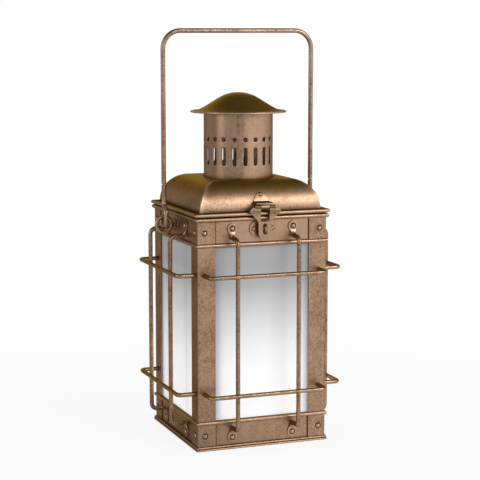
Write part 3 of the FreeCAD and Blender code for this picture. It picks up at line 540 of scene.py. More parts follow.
def softened(node, body, edge, names, fold_shade=None, smooth=30.0):
    """A piece of sheet with its cut edges rounded and rubbed: a merged copy of the working model's piece
    with a narrow bevel whose faces take the bright edge finish, also a painted highlight. Where the last
    argument is given as (low, high, depth), painted shade rises smoothly from the low level to the high one."""
    mesh = frame["nodes"][node].data.copy()
    mesh.materials.clear()
    clean(mesh, 0.002 * MM, math.radians(0.6))
    if fold_shade:
        spots = np.zeros(len(mesh.vertices) * 3, np.float32)
        mesh.vertices.foreach_get("co", spots)
        layer = mesh.attributes.new("grime_and_shade", "FLOAT", "POINT")
        layer.data.foreach_set("value", fold_shade[2] * smoothstep(spots[2::3], fold_shade[0], fold_shade[1]))
    piece = finish_piece(node + "_dressed", mesh, body, names, [node], smooth)
    bevel = piece.modifiers.new("worn edge", "BEVEL")
    bevel.width = edge
    bevel.segments = 2
    bevel.limit_method = "ANGLE"
    bevel.angle_limit = math.radians(40)
    # the bevel faces take the rubbed edge copper, which is also a painted highlight along each edge
    bevel.material = 1
    bevel.harden_normals = False
    return piece


# ---- pieces --------------------------------------------------------------------------------------

def build_frames(sizes, finish):
    """Foot, beads, rim and roof flange: rolled profiles carried round the square case."""
    post_low, post_high = low_of("corner_post_front_left"), high_of("corner_post_front_left")
    band = high_of("lower_band")[0]
    case = finish["case_copper"]

    foot_low, foot_high = low_of("foot_ring"), high_of("foot_ring")
    reach, top = foot_high[0], foot_high[2]
    inner = -post_low[0] - 9 * MM
    lip = top / 4
    lower = arc((reach - lip, lip), lip, -90, 90, 7)
    upper = arc((reach - lip * 1.35, 3 * lip), lip, -90, 90, 7)
    profile = np.concatenate([[(inner, 0)], lower, upper, [(inner, top)]])
    # painted shade with some lacquer in the groove between the two lips and at the inner edge; a painted highlight with
    # rubbing on the rounded lips
    grime_and_shade_share = np.zeros(len(profile))
    grime_and_shade_share[[7, 8]] = 0.9
    grime_and_shade_share[-2] = 0.3
    wear_and_highlight = np.zeros(len(profile))
    wear_and_highlight[[4, 5, 11, 12, 13]] = 0.45
    foot = Surface()
    foot.grid(square_frame(profile, 1.0 * MM), wear_and_highlight[:, None], grime_and_shade_share[:, None], round_rows=True)
    foot.piece("folded_foot", "case", [case], ["foot_ring"], "case_copper")

    for node, name, phase in (("lower_bead", "soldered_bead_lower", 0.4), ("upper_bead", "soldered_bead_upper", 2.1)):
        low, high = low_of(node)[2], high_of(node)[2]
        reach = high_of(node)[0]
        half = (high - low) / 2
        bulge = np.radians(np.linspace(-90, 90, 11))
        outer = np.stack([band + (reach - band) * np.cos(bulge) ** 0.75, low + half + half * np.sin(bulge)], -1)
        profile = np.concatenate([[(band - 0.3 * MM, low)], outer, [(band - 0.3 * MM, high)]])
        # a painted highlight with rubbing along the crest of the bead; painted shade with some lacquer where it meets
        # the band
        wear_and_highlight = np.interp(np.arange(len(profile)), [3, 7, 10], [0, 0.55, 0], left=0, right=0)
        grime_and_shade_share = np.interp(np.arange(len(profile)), [0, 1, 3, 11, 12], [1, 1, 0, 0, 0.8])
        bead = Surface()
        ring = square_frame(profile, 0.6 * MM, 0.10 * MM, phase)
        bead.grid(ring, wear_and_highlight[:, None], grime_and_shade_share[:, None], round_rows=True)
        bead.piece(name, "case", [case], [node], "case_copper")

    rim_low, rim_high = low_of("case_rim"), high_of("case_rim")
    reach, low, high = rim_high[0], rim_low[2], rim_high[2]
    inner = low_of("roof_flange")[0] * 0 + band - 1 * MM
    roll = (high - low) / 2
    outer = arc((reach - roll, low + roll), roll, -90, 90, 11)
    profile = np.concatenate([[(inner, low)], outer, [(inner, high)]])
    # a painted highlight with rubbing along the roll of the rim; painted shade with some lacquer at its inner edges
    wear_and_highlight = np.interp(np.arange(len(profile)), [5, 8, 10], [0, 0.5, 0], left=0, right=0)
    grime_and_shade_share = np.interp(np.arange(len(profile)), [0, 1, 3, 10, 11, 12], [1, 0.9, 0, 0, 0.9, 1])
    rim = Surface()
    rim.grid(square_frame(profile, 1.0 * MM, 0.08 * MM, 1.0), wear_and_highlight[:, None], grime_and_shade_share[:, None], round_rows=True)
    rim.piece("rolled_rim", "case", [case], ["case_rim"], "case_copper")

    lid_high, lid_low = high_of("roof_flange"), low_of("roof_flange")
    reach, high = lid_high[0], lid_high[2]
    base = high_of("roof_shell")[0]
    low = high - 3.9 * MM
    roll = (high - low) / 2
    skirt = band - 1 * MM - 1.2 * MM
    outer = arc((reach - roll, low + roll), roll, -90, 90, 11)
    profile = np.concatenate([[(skirt - 0.8 * MM, lid_low[2]), (skirt, lid_low[2]), (skirt, low)], outer,
                              [(base + 0.6 * MM, high), (base - 1 * MM, high), (base - 1 * MM, low)]])
    # a painted highlight with rubbing along the roll of the flange; painted shade with some lacquer on the skirt and at
    # the foot of the roof
    wear_and_highlight = np.interp(np.arange(len(profile)), [7, 10, 12], [0, 0.6, 0], left=0, right=0)
    grime_and_shade_share = np.interp(np.arange(len(profile)), [0, 3, 5, 12, 13, 14, 16], [1, 0.9, 0, 0, 0.5, 1, 1])
    lid = Surface()
    ring = square_frame(profile, 1.0 * MM, 0.10 * MM, 3.0)
    ring[..., 2] = np.minimum(ring[..., 2], high)
    lid.grid(ring, wear_and_highlight[:, None], grime_and_shade_share[:, None], round_rows=True)
    lid.piece("rolled_roof_flange", "roof", [finish["roof_copper"]], ["roof_flange"], "roof_copper")


def build_sheet(sizes, finish):
    """Posts, leaves, plates and pans: copies with softened, rubbed edges that carry a painted highlight."""
    edges = [finish["case_copper"], finish["worn_edge_highlight"]]
    for corner in CORNERS:
        softened("corner_post_" + corner, "case", sizes.edge_width, edges)
    fittings = [finish["fittings_copper"], finish["worn_edge_highlight"]]
    for node in ("staple_plate", "hinge_case_leaf"):
        softened(node, "case", sizes.edge_width, fittings)
    for node in ("hinge_roof_leaf", "hasp_upper_leaf"):
        softened(node, "roof", sizes.edge_width, fittings)
    fold = high_of("hasp_leaf")[2]
    # painted shade over the top of the hasp leaf, next to its fold
    softened("hasp_leaf", "hasp", sizes.edge_width, fittings, (fold - 8.5 * MM, fold - 4.5 * MM, 0.6))
    softened("candle_saucer", "case", sizes.edge_width, edges)
    softened("candle_cup", "case", sizes.edge_width, edges)


def upright(sizes, x, band, tab_low, tab_high, far):
    """One upright: a flat eye on the band that narrows and thickens into round wire, out, up and
    back. across is the circle of the eye, then a smooth fall to the wire, and through is its
    thickness; both meet the wire radius at the fold."""
    wire = sizes.cage_wire / 2
    plate = sizes.tab_sheet / 2
    eye = high_of("cage_uprights_front")[0] - UPRIGHT_SPACING / 2
    fold_low = tab_low + eye + 10 * MM
    fold_high = tab_high - eye - 10 * MM
    near = -band - plate
    corners = [(x, near, tab_low), (x, near, fold_low), (x, far, fold_low),
               (x, far, fold_high), (x, near, fold_high), (x, near, tab_high)]
    fold, bend = sizes.tab_fold, sizes.upright_bend
    path, run = rounded_path(corners, [fold, bend, bend, fold], 0.7 * MM)
    from_end = np.minimum(run, run[-1] - run)
    round_end = np.sqrt(np.clip(eye ** 2 - np.clip(eye - from_end, 0, None) ** 2, 0, None))
    taper = smoothstep(from_end, eye * 1.15, eye + 8.5 * MM)
    across = np.maximum(round_end * (1 - taper) + wire * taper, 0.02 * MM)
    thick = smoothstep(from_end, eye + 3 * MM, eye + 11 * MM)
    through = plate * (1 - thick) + wire * thick
    squareness = 7 - 5 * thick
    on_band = 1 - smoothstep(from_end, eye + 8 * MM, eye + 14 * MM)
    path[:, 1] -= (through - plate) * on_band
    points = carried(path, (1, 0, 0), across, through, squareness, 20)
    # a painted highlight with rubbing on the flat eye of each tab
    worn_and_highlit = (1 - thick) * 0.42
    return points, worn_and_highlit[:, None]


def build_cage(sizes, finish):
    """The wire cage: uprights with flattened riveted ends, cross bars, and solder where they cross."""
    wire = sizes.cage_wire / 2
    band = high_of("lower_band")[0]
    low, high = low_of("cage_uprights_front"), high_of("cage_uprights_front")
    far = low[1] + wire
    rivets = low_of("cage_rivets"), high_of("cage_rivets")
    eye = high[0] - (high[0] + low[0]) / 2
    spacing = UPRIGHT_SPACING / 2
    bars_low, bars_high = low_of("cage_cross_bars_front"), high_of("cage_cross_bars_front")
    bar_y = bars_low[1] + wire
    levels = (bars_low[2] + wire, bars_high[2] - wire)
    reach = bars_high[0] - wire
    bar_end = bars_high[1]
    for quarter, side in enumerate(SIDES):
        pair = Surface()
        for x in (-spacing, spacing):
            points, worn_and_highlit = upright(sizes, x, band, low[2], high[2], far)
            pair.grid(turned(points, quarter), worn_and_highlit, caps=True)
        pair.piece("uprights_" + side, "case", [finish["wire_copper"]], ["cage_uprights_" + side], "wire_copper")
        bars = Surface()
        for level in levels:
            corners = [(-reach, bar_end, level), (-reach, bar_y, level), (reach, bar_y, level), (reach, bar_end, level)]
            path, run = rounded_path(corners, [sizes.cross_bend] * 2, 1.0 * MM)
            swell = 0.978 + 0.012 * np.sin(run / 0.011) + 0.01 * np.sin(run / 0.0047 + quarter)
            points = carried(path, (0, 0, 1), wire * swell, wire * swell)
            bars.grid(turned(points, quarter), caps=True)
            for x in (-spacing, spacing):
                # painted shade with some lacquer at each crossing, with a faint painted highlight
                for points in solder(x, (far + bar_y) / 2, level, wire):
                    bars.grid(turned(points, quarter), 0.1, 0.35)
        bars.piece("cross_bars_" + side, "case", [finish["wire_copper"]], ["cage_cross_bars_" + side], "wire_copper")


def solder(x, y, level, wire):
    """Solder in the four corners of a crossing: small ellipsoids between the two wires."""
    centre = np.array((x, y, level))
    angle = np.linspace(0, math.pi, 9)
    profile = np.stack([np.sin(angle) * wire * 1.28, np.cos(angle) * wire * 0.72], axis=-1)
    return [revolved(profile, centre, (0, 1, 0), 18)]


def build_rivets(sizes, finish):
    """Every rivet head, as domes on collars darkened with painted shade, and the tails inside the case."""
    half = -low_of("corner_post_front_left")[0]
    band = high_of("lower_band")[0]
    low, high = low_of("post_rivets"), high_of("post_rivets")
    radius, height = sizes.rivet_radius, sizes.rivet_height
    levels = (low[2] + radius, high[2] - radius)
    heads = Surface()
    for quarter in range(4):
        for level in levels:
            for x in (-half + POST_RIVET_INSET, half - POST_RIVET_INSET):
                seat = turned(np.array((x, -half, level)), quarter)
                outward = turned(np.array((0.0, -1.0, 0.0)), quarter)
                dome(heads, seat, outward, radius, height)
                dome(heads, seat - outward * 2 * sizes.sheet, -outward, radius * 0.85, height * 0.5)
    heads.piece("rivets_on_posts", "case", [finish["fittings_copper"]], ["post_rivets"], "fittings_copper")

    low, high = low_of("cage_rivets"), high_of("cage_rivets")
    levels = (low[2] + radius, high[2] - radius)
    heads = Surface()
    for quarter in range(4):
        outward = turned(np.array((0.0, -1.0, 0.0)), quarter)
        for level in levels:
            for x in (-UPRIGHT_SPACING / 2, UPRIGHT_SPACING / 2):
                seat = turned(np.array((x, -band - sizes.tab_sheet, level)), quarter)
                dome(heads, seat, outward, radius, height)
                inside = seat - outward * (sizes.tab_sheet + sizes.sheet)
                dome(heads, inside, -outward, radius * 0.85, height * 0.5)
    heads.piece("rivets_on_tabs", "case", [finish["fittings_copper"]], ["cage_rivets"], "fittings_copper")


def build_handle(sizes, finish):
    """The bail: hook, jog, leg, corner, grip and the same again, in one wire that is hammered a
    little flat through the hooks."""
    wire = sizes.handle_wire / 2
    low, high = low_of("bail_handle"), high_of("bail_handle")
    side = high[0] - wire
    top = high[2] - wire
    hook = sizes.hook_radius
    pivot = low[2] + wire + hook
    foot = [(hook, pivot + HOOK_TIP), (hook, pivot - hook), (-hook, pivot - hook),
            (-hook, pivot + JOG_START), (0, pivot + JOG_START + JOG_RISE)]
    corners = [(-side, y, z) for y, z in foot] + [(-side, 0, top), (side, 0, top)]
    corners += [(side, y, z) for y, z in reversed(foot)]
    bends = [hook, hook, HOOK_BEND, HOOK_BEND]
    path, run = rounded_path(corners, bends + [sizes.handle_corner] * 2 + bends[::-1], 0.9 * MM)
    along = unit(np.gradient(path, axis=0))
    upper = path[:, 2] > pivot + JOG_START + JOG_RISE + 20 * MM
    over = np.cross(along, (0, -1, 0))
    across = np.stack([-np.sign(path[:, 0]), path[:, 0] * 0, path[:, 0] * 0], axis=-1)
    side_way = np.where(upper[:, None], over, -across)
    from_end = np.minimum(run, run[-1] - run)
    flat = 1 - smoothstep(from_end, 26 * MM, 52 * MM)
    tip = smoothstep(from_end, -1 * MM, 3 * MM) ** 0.5
    points = carried(path, side_way, wire * (1 + 0.10 * flat) * tip, wire * (1 - 0.16 * flat) * tip,
                     2 + 0.6 * flat, 20)
    handle = Surface()
    # a painted highlight with rubbing along the wire, strongest on the flattened hooks
    worn_and_highlit = (0.12 + 0.55 * flat)[:, None]
    handle.grid(points, worn_and_highlit, caps=True)
    handle.piece("bail_wire", "handle", [finish["wire_copper"]], ["bail_handle"], "wire_copper")


def build_eyes(sizes, finish):
    """Eye bolts and their rosettes; the nuts inside are not built here."""
    for sign, name in ((-1, "left"), (1, "right")):
        low, high = low_of("eye_bolt_" + name), high_of("eye_bolt_" + name)
        wire = sizes.eye_wire / 2
        thick = wire * 1.22
        radius = (high[2] - low[2]) / 2 - thick
        level = (high[2] + low[2]) / 2
        outer = low[0] if sign < 0 else high[0]
        inner = high[0] if sign < 0 else low[0]
        centre = np.array((outer - sign * (radius + thick), 0.0, level))
        turn = np.linspace(0, 2 * math.pi, 64, endpoint=False)
        path = centre + radius * np.stack([np.cos(turn), 0 * turn, np.sin(turn)], axis=-1)
        angle = np.linspace(0, 2 * math.pi, 16, endpoint=False)
        arm = unit(path - centre)
        ring = path[:, None] + (thick * np.cos(angle)[:, None] * arm[:, None]
                                + wire * 0.92 * np.sin(angle)[:, None] * np.array((0, 1.0, 0)))
        bolt = Surface()
        # a painted highlight with rubbing over the ring and, fainter, on the shank
        bolt.grid(ring, 0.5, round_rows=True)
        start = centre[0] - sign * (radius - wire * 0.3)
        run = np.linspace(0, 1, 30)
        line = np.stack([start + (inner - start) * run, 0 * run, level + 0 * run], axis=-1)
        neck = EYE_SHANK / 2 * (1 + 0.45 * np.exp(-run / 0.06))
        bolt.grid(carried(line, (0, 1, 0), neck, neck), 0.1, caps=True)
        bolt.piece("eye_ring_" + name, "case", [finish["wire_copper"]], ["eye_bolt_" + name], "wire_copper")
    band = high_of("lower_band")[0]
    rosettes = Surface()
    reach = high_of("eye_bolt_rosettes")
    radius = reach[1]
    for sign in (-1, 1):
        height = reach[0] - band
        hub = EYE_SHANK / 2
        profile = [(hub * 0.9, -0.2 * MM), (radius, -0.2 * MM), (radius, 0.45 * MM), (radius * 0.95, 0.75 * MM),
                   (radius * 0.80, 0.95 * MM), (radius * 0.62, 1.05 * MM), (radius * 0.50, height * 0.75),
                   (radius * 0.38, height * 0.97), (hub * 1.05, height), (hub * 0.9, height * 0.9)]
        # a painted highlight with rubbing on the rosette's crests; painted shade with some lacquer in its hollows and
        # at its foot
        worn_and_highlit = np.array([0, 0, 0.3, 0.5, 0, 0, 0.4, 0.6, 0.5, 0])[:, None]
        grime_and_shade_share = np.array([1, 1, 0.2, 0, 0.3, 0.9, 0.3, 0, 0.3, 1])[:, None]
        points = revolved(profile, (sign * band, 0, level), (sign, 0, 0), 40)
        rosettes.grid(points, worn_and_highlit, grime_and_shade_share, round_rows=True)
    rosettes.piece("rosettes", "case", [finish["fittings_copper"]], ["eye_bolt_rosettes"], "fittings_copper")


def build_roof(sizes, finish):
    """The roof: a four sided vault. Its half width at height h is flat + (base - flat) *
    sqrt(1 - (h / rise)^2), carried round the square with a low soldered ridge at each corner,
    and its flat top runs in to the round hole of the chimney."""
    low, high = low_of("roof_shell"), high_of("roof_shell")
    base, rise, foot = high[0], high[2] - low[2], low[2]
    hole = high_of("chimney")[0]
    layers = []
    for inset in (0.0, sizes.sheet):
        lean = np.radians(np.linspace(0, 90, 22))
        reach = ROOF_FLAT_HALF + (base - inset - ROOF_FLAT_HALF) * np.cos(lean)
        height = foot + (rise - inset) * np.sin(lean)
        ring = square_frame(np.stack([reach, height], -1), ROOF_CREASE, runs=34)
        angle = np.arctan2(ring[..., 1], ring[..., 0])
        last = ring[-1]
        circle = np.stack([hole * np.cos(angle[-1]), hole * np.sin(angle[-1]), last[..., 2]], -1)
        blend = np.linspace(0, 1, 5)[1:, None, None]
        flat = last * (1 - blend) + circle * blend
        ring = np.concatenate([ring, flat])
        layers.append(ring)
    outer, inner = layers
    corner = np.abs(np.abs(outer[:22, :, 0]) - np.abs(outer[:22, :, 1]))
    ridge = np.exp(-(corner / (1.1 * MM)) ** 2)
    way = unit(np.stack([outer[:22, :, 0], outer[:22, :, 1], 0 * outer[:22, :, 0]], -1))
    outer[:22] += way * (ridge * 0.35 * MM)[..., None]
    outer[..., 2] = np.minimum(outer[..., 2], high[2])
    # painted shade with some lacquer beside each corner ridge, along the foot, round the chimney hole and over the
    # whole underside; a painted highlight with rubbing along the ridges
    beside = np.exp(-((corner - 2.4 * MM) / (0.9 * MM)) ** 2)
    rows = len(outer)
    wear_and_highlight = np.zeros(outer.shape[:2])
    wear_and_highlight[:22] = ridge * 0.8
    grime_and_shade = np.zeros(outer.shape[:2])
    grime_and_shade[:22] = beside * 0.55
    grime_and_shade[0] += 0.7
    grime_and_shade[1] += 0.3
    grime_and_shade[-1] = 0.7
    skin = np.concatenate([outer, inner[::-1]])
    wear_and_highlight = np.concatenate([wear_and_highlight, np.zeros((rows, wear_and_highlight.shape[1]))])
    grime_and_shade = np.clip(np.concatenate([grime_and_shade, np.full((rows, grime_and_shade.shape[1]), 0.6)]), 0, 1)
    roof = Surface()
    roof.grid(skin, wear_and_highlight, grime_and_shade, round_rows=True)
    roof.piece("vaulted_roof", "roof", [finish["roof_copper"]], ["roof_shell"], "roof_copper")


def vent_patch(width, height, half_width, half_length, across, upright_count, rows):
    """A flat rectangle with a slot in it: rings from the outline of the slot to the rectangle.
    A ring point is slot + (edge - slot) * t, where slot is half_width from the nearest point of
    the slot's centre line."""
    bottom = np.stack([np.linspace(-width / 2, width / 2, across + 1)[:-1], np.full(across, -height / 2)], -1)
    right = np.stack([np.full(upright_count, width / 2), np.linspace(-height / 2, height / 2, upright_count + 1)[:-1]], -1)
    edge = np.concatenate([bottom, right, -bottom, -right])
    core = np.stack([0 * edge[:, 0], np.clip(edge[:, 1] * half_length / (height / 2) * 1.25, -half_length, half_length)], -1)
    slot = core + unit(edge - core) * half_width
    share = np.linspace(0, 1, rows)[:, None, None]
    return slot + (edge - slot) * share ** 1.15, share


def build_chimney(sizes, finish):
    """The chimney: a rolled tube of vent panels. A flat panel point (across, up) goes to
    radius * (sin, -cos) of across / radius, and the lip of each vent is drawn in a little."""
    low, high = low_of("chimney"), high_of("chimney")
    radius = high[0]
    roof_top = high_of("roof_shell")[2]
    pitch = 2 * math.pi * radius / CHIMNEY_VENTS
    slot_mid = roof_top + SLOT_BOTTOM + SLOT_LENGTH / 2
    hole_mid = roof_top + HOLE_HEIGHT
    slot_span = (slot_mid - SLOT_LENGTH / 2 - 2.5 * MM, slot_mid + SLOT_LENGTH / 2 + 2.5 * MM)
    hole_span = (hole_mid - 5.0 * MM, hole_mid + 5.0 * MM)
    across = 6
    panels = []
    for middle, span, half_width, half_core, upright_count in (
            (slot_mid, slot_span, SLOT_WIDTH / 2, SLOT_LENGTH / 2 - SLOT_WIDTH / 2, 12),
            (hole_mid, hole_span, HOLE_WIDTH / 2, 0.0, 6)):
        flat, share = vent_patch(pitch, span[1] - span[0], half_width, half_core, across, upright_count, 6)
        lip = np.exp(-share / 0.12)[..., 0] * 0.22 * MM
        panels.append((flat[..., 0], flat[..., 1] + middle, np.broadcast_to(lip, flat.shape[:2]), True))
    x = np.linspace(-pitch / 2, pitch / 2, across + 1)
    for start, end, rows in ((low[2], slot_span[0], 10), (slot_span[1], hole_span[0], 3), (hole_span[1], high[2], 16)):
        up = np.linspace(start, end, rows)
        panels.append((*np.meshgrid(x, up), np.zeros((rows, across + 1)), False))
    tube = Surface()
    for vent in range(CHIMNEY_VENTS):
        for across_way, up, lip, closed in panels:
            angle = across_way / radius + (vent + 0.5) * 2 * math.pi / CHIMNEY_VENTS
            reach = radius - lip - (lip > 0.1 * MM) * 0
            points = np.stack([reach * np.sin(angle), -reach * np.cos(angle), up], -1)
            # painted shade, with some lacquer, where the chimney meets the roof and round the drawn-in lip of each vent
            grime_and_shade = np.exp(-(up - roof_top) / (1.2 * MM)) * (up > roof_top - 1 * MM)
            grime_and_shade = np.clip(grime_and_shade, 0, 1) * 0.6 + np.clip(lip / (0.22 * MM), 0, 1) * 0.5
            tube.grid(points, 0.0, np.clip(grime_and_shade, 0, 1), round_columns=closed)
    piece = tube.piece("rolled_chimney", "roof", [finish["chimney_copper"]], ["chimney"], "roof_copper")
    wall = piece.modifiers.new("gauge", "SOLIDIFY")
    wall.thickness = sizes.chimney_sheet
    wall.offset = -1


def build_cap(sizes, finish):
    """The spun cap: dome, straight slope, hollow sweep and a wired brim, turned about the axis."""
    low, high = low_of("chimney_cap"), high_of("chimney_cap")
    radius, apex = high[0], high[2]
    wire = CAP_EDGE_WIRE / 2
    edge = low[2] + wire + 0.0
    ball, slope = CAP_DOME_RADIUS, math.radians(CAP_SLOPE)
    centre = apex - ball
    lean = np.linspace(0, slope, 16)
    dome_line = np.stack([ball * np.sin(lean), centre + ball * np.cos(lean)], -1)
    brim = np.array((radius - wire, edge + sizes.chimney_sheet / 2))
    turn = dome_line[-1]
    corner_x = turn[0] + (turn[1] - brim[1] - (brim[0] - turn[0]) * CAP_BRIM_FALL) / (math.tan(slope) - CAP_BRIM_FALL)
    corner = np.array((corner_x, turn[1] - (corner_x - turn[0]) * math.tan(slope)))
    share = np.linspace(0, 1, 22)[1:, None]
    reach_in = turn + (corner - turn) * 0.45
    reach_out = corner + (brim - corner) * 0.45
    sweep = (1 - share) ** 2 * reach_in + 2 * share * (1 - share) * corner + share ** 2 * reach_out
    top = np.concatenate([dome_line, sweep, [brim]])
    along = unit(np.gradient(top, axis=0))
    under = top + np.stack([along[:, 1], -along[:, 0]], -1) * sizes.chimney_sheet
    roll = arc((radius - wire, edge), wire, 80, -110, 9)
    profile = np.concatenate([top[:-1], roll, under[::-1][1:]])
    profile[:, 0] = np.maximum(profile[:, 0], 0)
    profile[-1, 0] = 0
    count = len(top) - 1
    # a painted highlight with rubbing on the wired brim; painted shade with some lacquer in the hollow above it and on
    # the underside
    wear_and_highlight = np.zeros(len(profile))
    wear_and_highlight[count:count + 6] = 0.75
    grime_and_shade_share = np.zeros(len(profile))
    grime_and_shade_share[count - 2:count] = 0.45
    grime_and_shade_share[count + 9:] = 0.5
    cap = Surface()
    cap.grid(revolved(profile, (0, 0, 0), (0, 0, 1), 112), wear_and_highlight[:, None], grime_and_shade_share[:, None])
    cap.piece("spun_cap", "roof", [finish["roof_copper"]], ["chimney_cap"], "roof_copper")


def build_candle(sizes, finish):
    """The candle with a hollow melted pool, and its curled wick."""
    low, high = low_of("candle"), high_of("candle")
    radius, foot, top = high[0], low[2], high[2]
    profile = [(0, foot), (radius - 1 * MM, foot), (radius, foot + 1 * MM), (radius, top - 6 * MM),
               (radius - 0.8 * MM, top - 2.5 * MM), (radius - 3 * MM, top - 0.4 * MM), (radius - 4.5 * MM, top),
               (radius - 6 * MM, top - 0.8 * MM), (radius * 0.45, top - 2.6 * MM), (0, top - 3.2 * MM)]
    wax = Surface()
    points = revolved(profile, (0, 0, 0), (0, 0, 1), 64)
    turn = np.arctan2(points[..., 1], points[..., 0])
    lift = np.linspace(0, 1, len(profile))[:, None] ** 4
    points[..., 2] -= lift * 0.5 * MM * (1 + np.sin(2 * turn + 0.7))
    wax.grid(points)
    piece = wax.piece("wax_candle", "case", [finish["wax"]], ["candle"], "wax", 60)
    rounding = piece.modifiers.new("soft wax", "SUBSURF")
    rounding.levels = 1
    rounding.render_levels = 1
    low, high = low_of("candle_wick"), high_of("candle_wick")
    thickness = high[0]
    run = np.linspace(0, 1, 24)
    curl = (high[0] - thickness) + 1.6 * MM * smoothstep(run, 0.6, 1.0)
    line = np.stack([curl, 0 * run, low[2] + (high[2] - low[2]) * run], -1)
    twist = 1 + 0.1 * np.sin(run * 60)
    wick = Surface()
    wick.grid(carried(line, (0, 1, 0), thickness * twist, thickness * twist, 2.0, 12), caps=True)
    wick.piece("braided_wick", "case", [finish["wick"]], ["candle_wick"], "wick")


def dress_nodes(finish):
    """Gives every piece of the working model that stays its finish."""
    for node, piece in frame["nodes"].items():
        piece.data.materials.clear()
        piece.data.materials.append(finish.get(node + "_copper", finish[SLOT_OF[node]]))


# ---- places that the pieces share ----------------------------------------------------------------

UPRIGHT_SPACING = 66.0 * MM
POST_RIVET_INSET = 7.6 * MM
HOOK_TIP = 2.0 * MM
JOG_START = 7.0 * MM
JOG_RISE = 8.5 * MM
HOOK_BEND = 5.0 * MM
EYE_SHANK = 4.0 * MM
ROOF_FLAT_HALF = 39.5 * MM
ROOF_CREASE = 0.9 * MM
CHIMNEY_VENTS = 20
SLOT_BOTTOM = 13.1 * MM
SLOT_LENGTH = 18.5 * MM
SLOT_WIDTH = 3.9 * MM
HOLE_HEIGHT = 39.7 * MM
HOLE_WIDTH = 4.3 * MM
CAP_EDGE_WIRE = 1.9 * MM
CAP_DOME_RADIUS = 40.0 * MM
CAP_SLOPE = 32.0
CAP_BRIM_FALL = math.tan(math.radians(6.0))


# ---- stage ---------------------------------------------------------------------------------------

def seen_directly(graph):
    """1 for rays from the camera, a reflection or a transmission, 0 for light on the object."""
    rays = [graph.add("ShaderNodeLightPath", None, None, name)
            for name in ("Is Camera Ray", "Is Glossy Ray", "Is Transmission Ray")]
    return (rays[0] + rays[1] + rays[2]).math("MINIMUM", 1.0)


def studio(graph, way):
    """How bright the studio is in a reflection: bright to the front right, dim to the back left,
    with a darker gap between its two soft boxes."""
    key = graph.add("ShaderNodeVectorMath", {"operation": "DOT_PRODUCT"}, [way, (0.54, -0.84, 0.0)], 1)
    gap = graph.add("ShaderNodeVectorMath", {"operation": "DOT_PRODUCT"}, [way, (-0.36, -0.93, 0.0)], 1)
    rear = graph.add("ShaderNodeVectorMath", {"operation": "DOT_PRODUCT"}, [way, (-0.36, 0.93, 0.0)], 1)
    base = 0.30 + 0.15 * rear.between(0.4, 0.95)
    return (base + 0.64 * key.between(-0.5, 0.8)) * (1 - 0.30 * gap.between(0.86, 0.99))


def build_floor():
    reach = 6.0
    points = np.array([[(-reach, -reach, 0), (reach, -reach, 0)], [(-reach, reach, 0), (reach, reach, 0)]])
    mesh = bpy.data.meshes.new("floor")
    mesh.from_pydata(points.reshape(-1, 3).tolist(), [], [(0, 1, 3, 2)])
    floor = bpy.data.objects.new("floor", mesh)
    bpy.context.scene.collection.objects.link(floor)
    material, graph = new_material("pale_floor")
    lit = graph.add("ShaderNodeBsdfDiffuse", None, {"Color": (0.92, 0.92, 0.92, 1.0)})
    place = graph.place()
    way = graph.add("ShaderNodeVectorMath", {"operation": "NORMALIZE"}, [place])
    glossy = graph.add("ShaderNodeLightPath", None, None, "Is Glossy Ray")
    level = 1 - glossy * (1 - studio(graph, way))
    white = graph.add("ShaderNodeEmission", None, {"Strength": level})
    distance = graph.add("ShaderNodeVectorMath", {"operation": "LENGTH"}, [place], 1)
    far = distance.between(0.25, 0.9)
    share = seen_directly(graph) * (0.86 + 0.14 * far)
    mixed = graph.add("ShaderNodeMixShader", None, [share, lit, white])
    graph.add("ShaderNodeOutputMaterial", None, {"Surface": mixed})
    mesh.materials.append(material)


def build_world():
    """White where it is looked at, darker overhead in reflections as under a studio ceiling."""
    world = bpy.data.worlds.new("studio")
    bpy.context.scene.world = world
    world.use_nodes = True
    graph = Graph(world.node_tree)
    way = graph.add("ShaderNodeTexCoord", None, None, "Generated")
    up = graph.add("ShaderNodeSeparateXYZ", None, [way], 2)
    ceiling = up.between(0.25, 0.85)
    glossy = graph.add("ShaderNodeLightPath", None, None, "Is Glossy Ray")
    level = 1 - glossy * (1 - studio(graph, way) * (1 - 0.72 * ceiling))
    looked_at = graph.add("ShaderNodeBackground", None, {"Color": (1.0, 1.0, 1.0, 1.0), "Strength": level})
    light = graph.add("ShaderNodeBackground", None, {"Color": (0.95, 0.97, 1.0, 1.0), "Strength": 0.62})
    mixed = graph.add("ShaderNodeMixShader", None, [seen_directly(graph), light, looked_at])
    graph.add("ShaderNodeOutputWorld", None, {"Surface": mixed})


def area_lamp(name, place, aim, size, power, tint):
    data = bpy.data.lights.new(name, "AREA")
    data.shape = "RECTANGLE"
    data.size, data.size_y = size
    data.energy = power
    data.color = tint
    lamp = bpy.data.objects.new(name, data)
    lamp.location = place
    lamp.rotation_euler = (Vector(aim) - Vector(place)).to_track_quat("-Z", "Y").to_euler()
    bpy.context.scene.collection.objects.link(lamp)


def build_camera():
    turn, drop = math.radians(-20.82), math.radians(7.90)
    aim = Vector((math.cos(turn), math.sin(turn), 0)) * 1.85 * MM + Vector((0, 0, 0.20465))
    back = Vector((math.sin(turn) * math.cos(drop), -math.cos(turn) * math.cos(drop), math.sin(drop)))
    data = bpy.data.cameras.new("camera")
    data.lens = 112.23
    data.sensor_width = 36.0
    camera = bpy.data.objects.new("camera", data)
    camera.location = aim + back * 1.57873
    camera.rotation_euler = (-back).to_track_quat("-Z", "Y").to_euler()
    bpy.context.scene.collection.objects.link(camera)
    bpy.context.scene.camera = camera


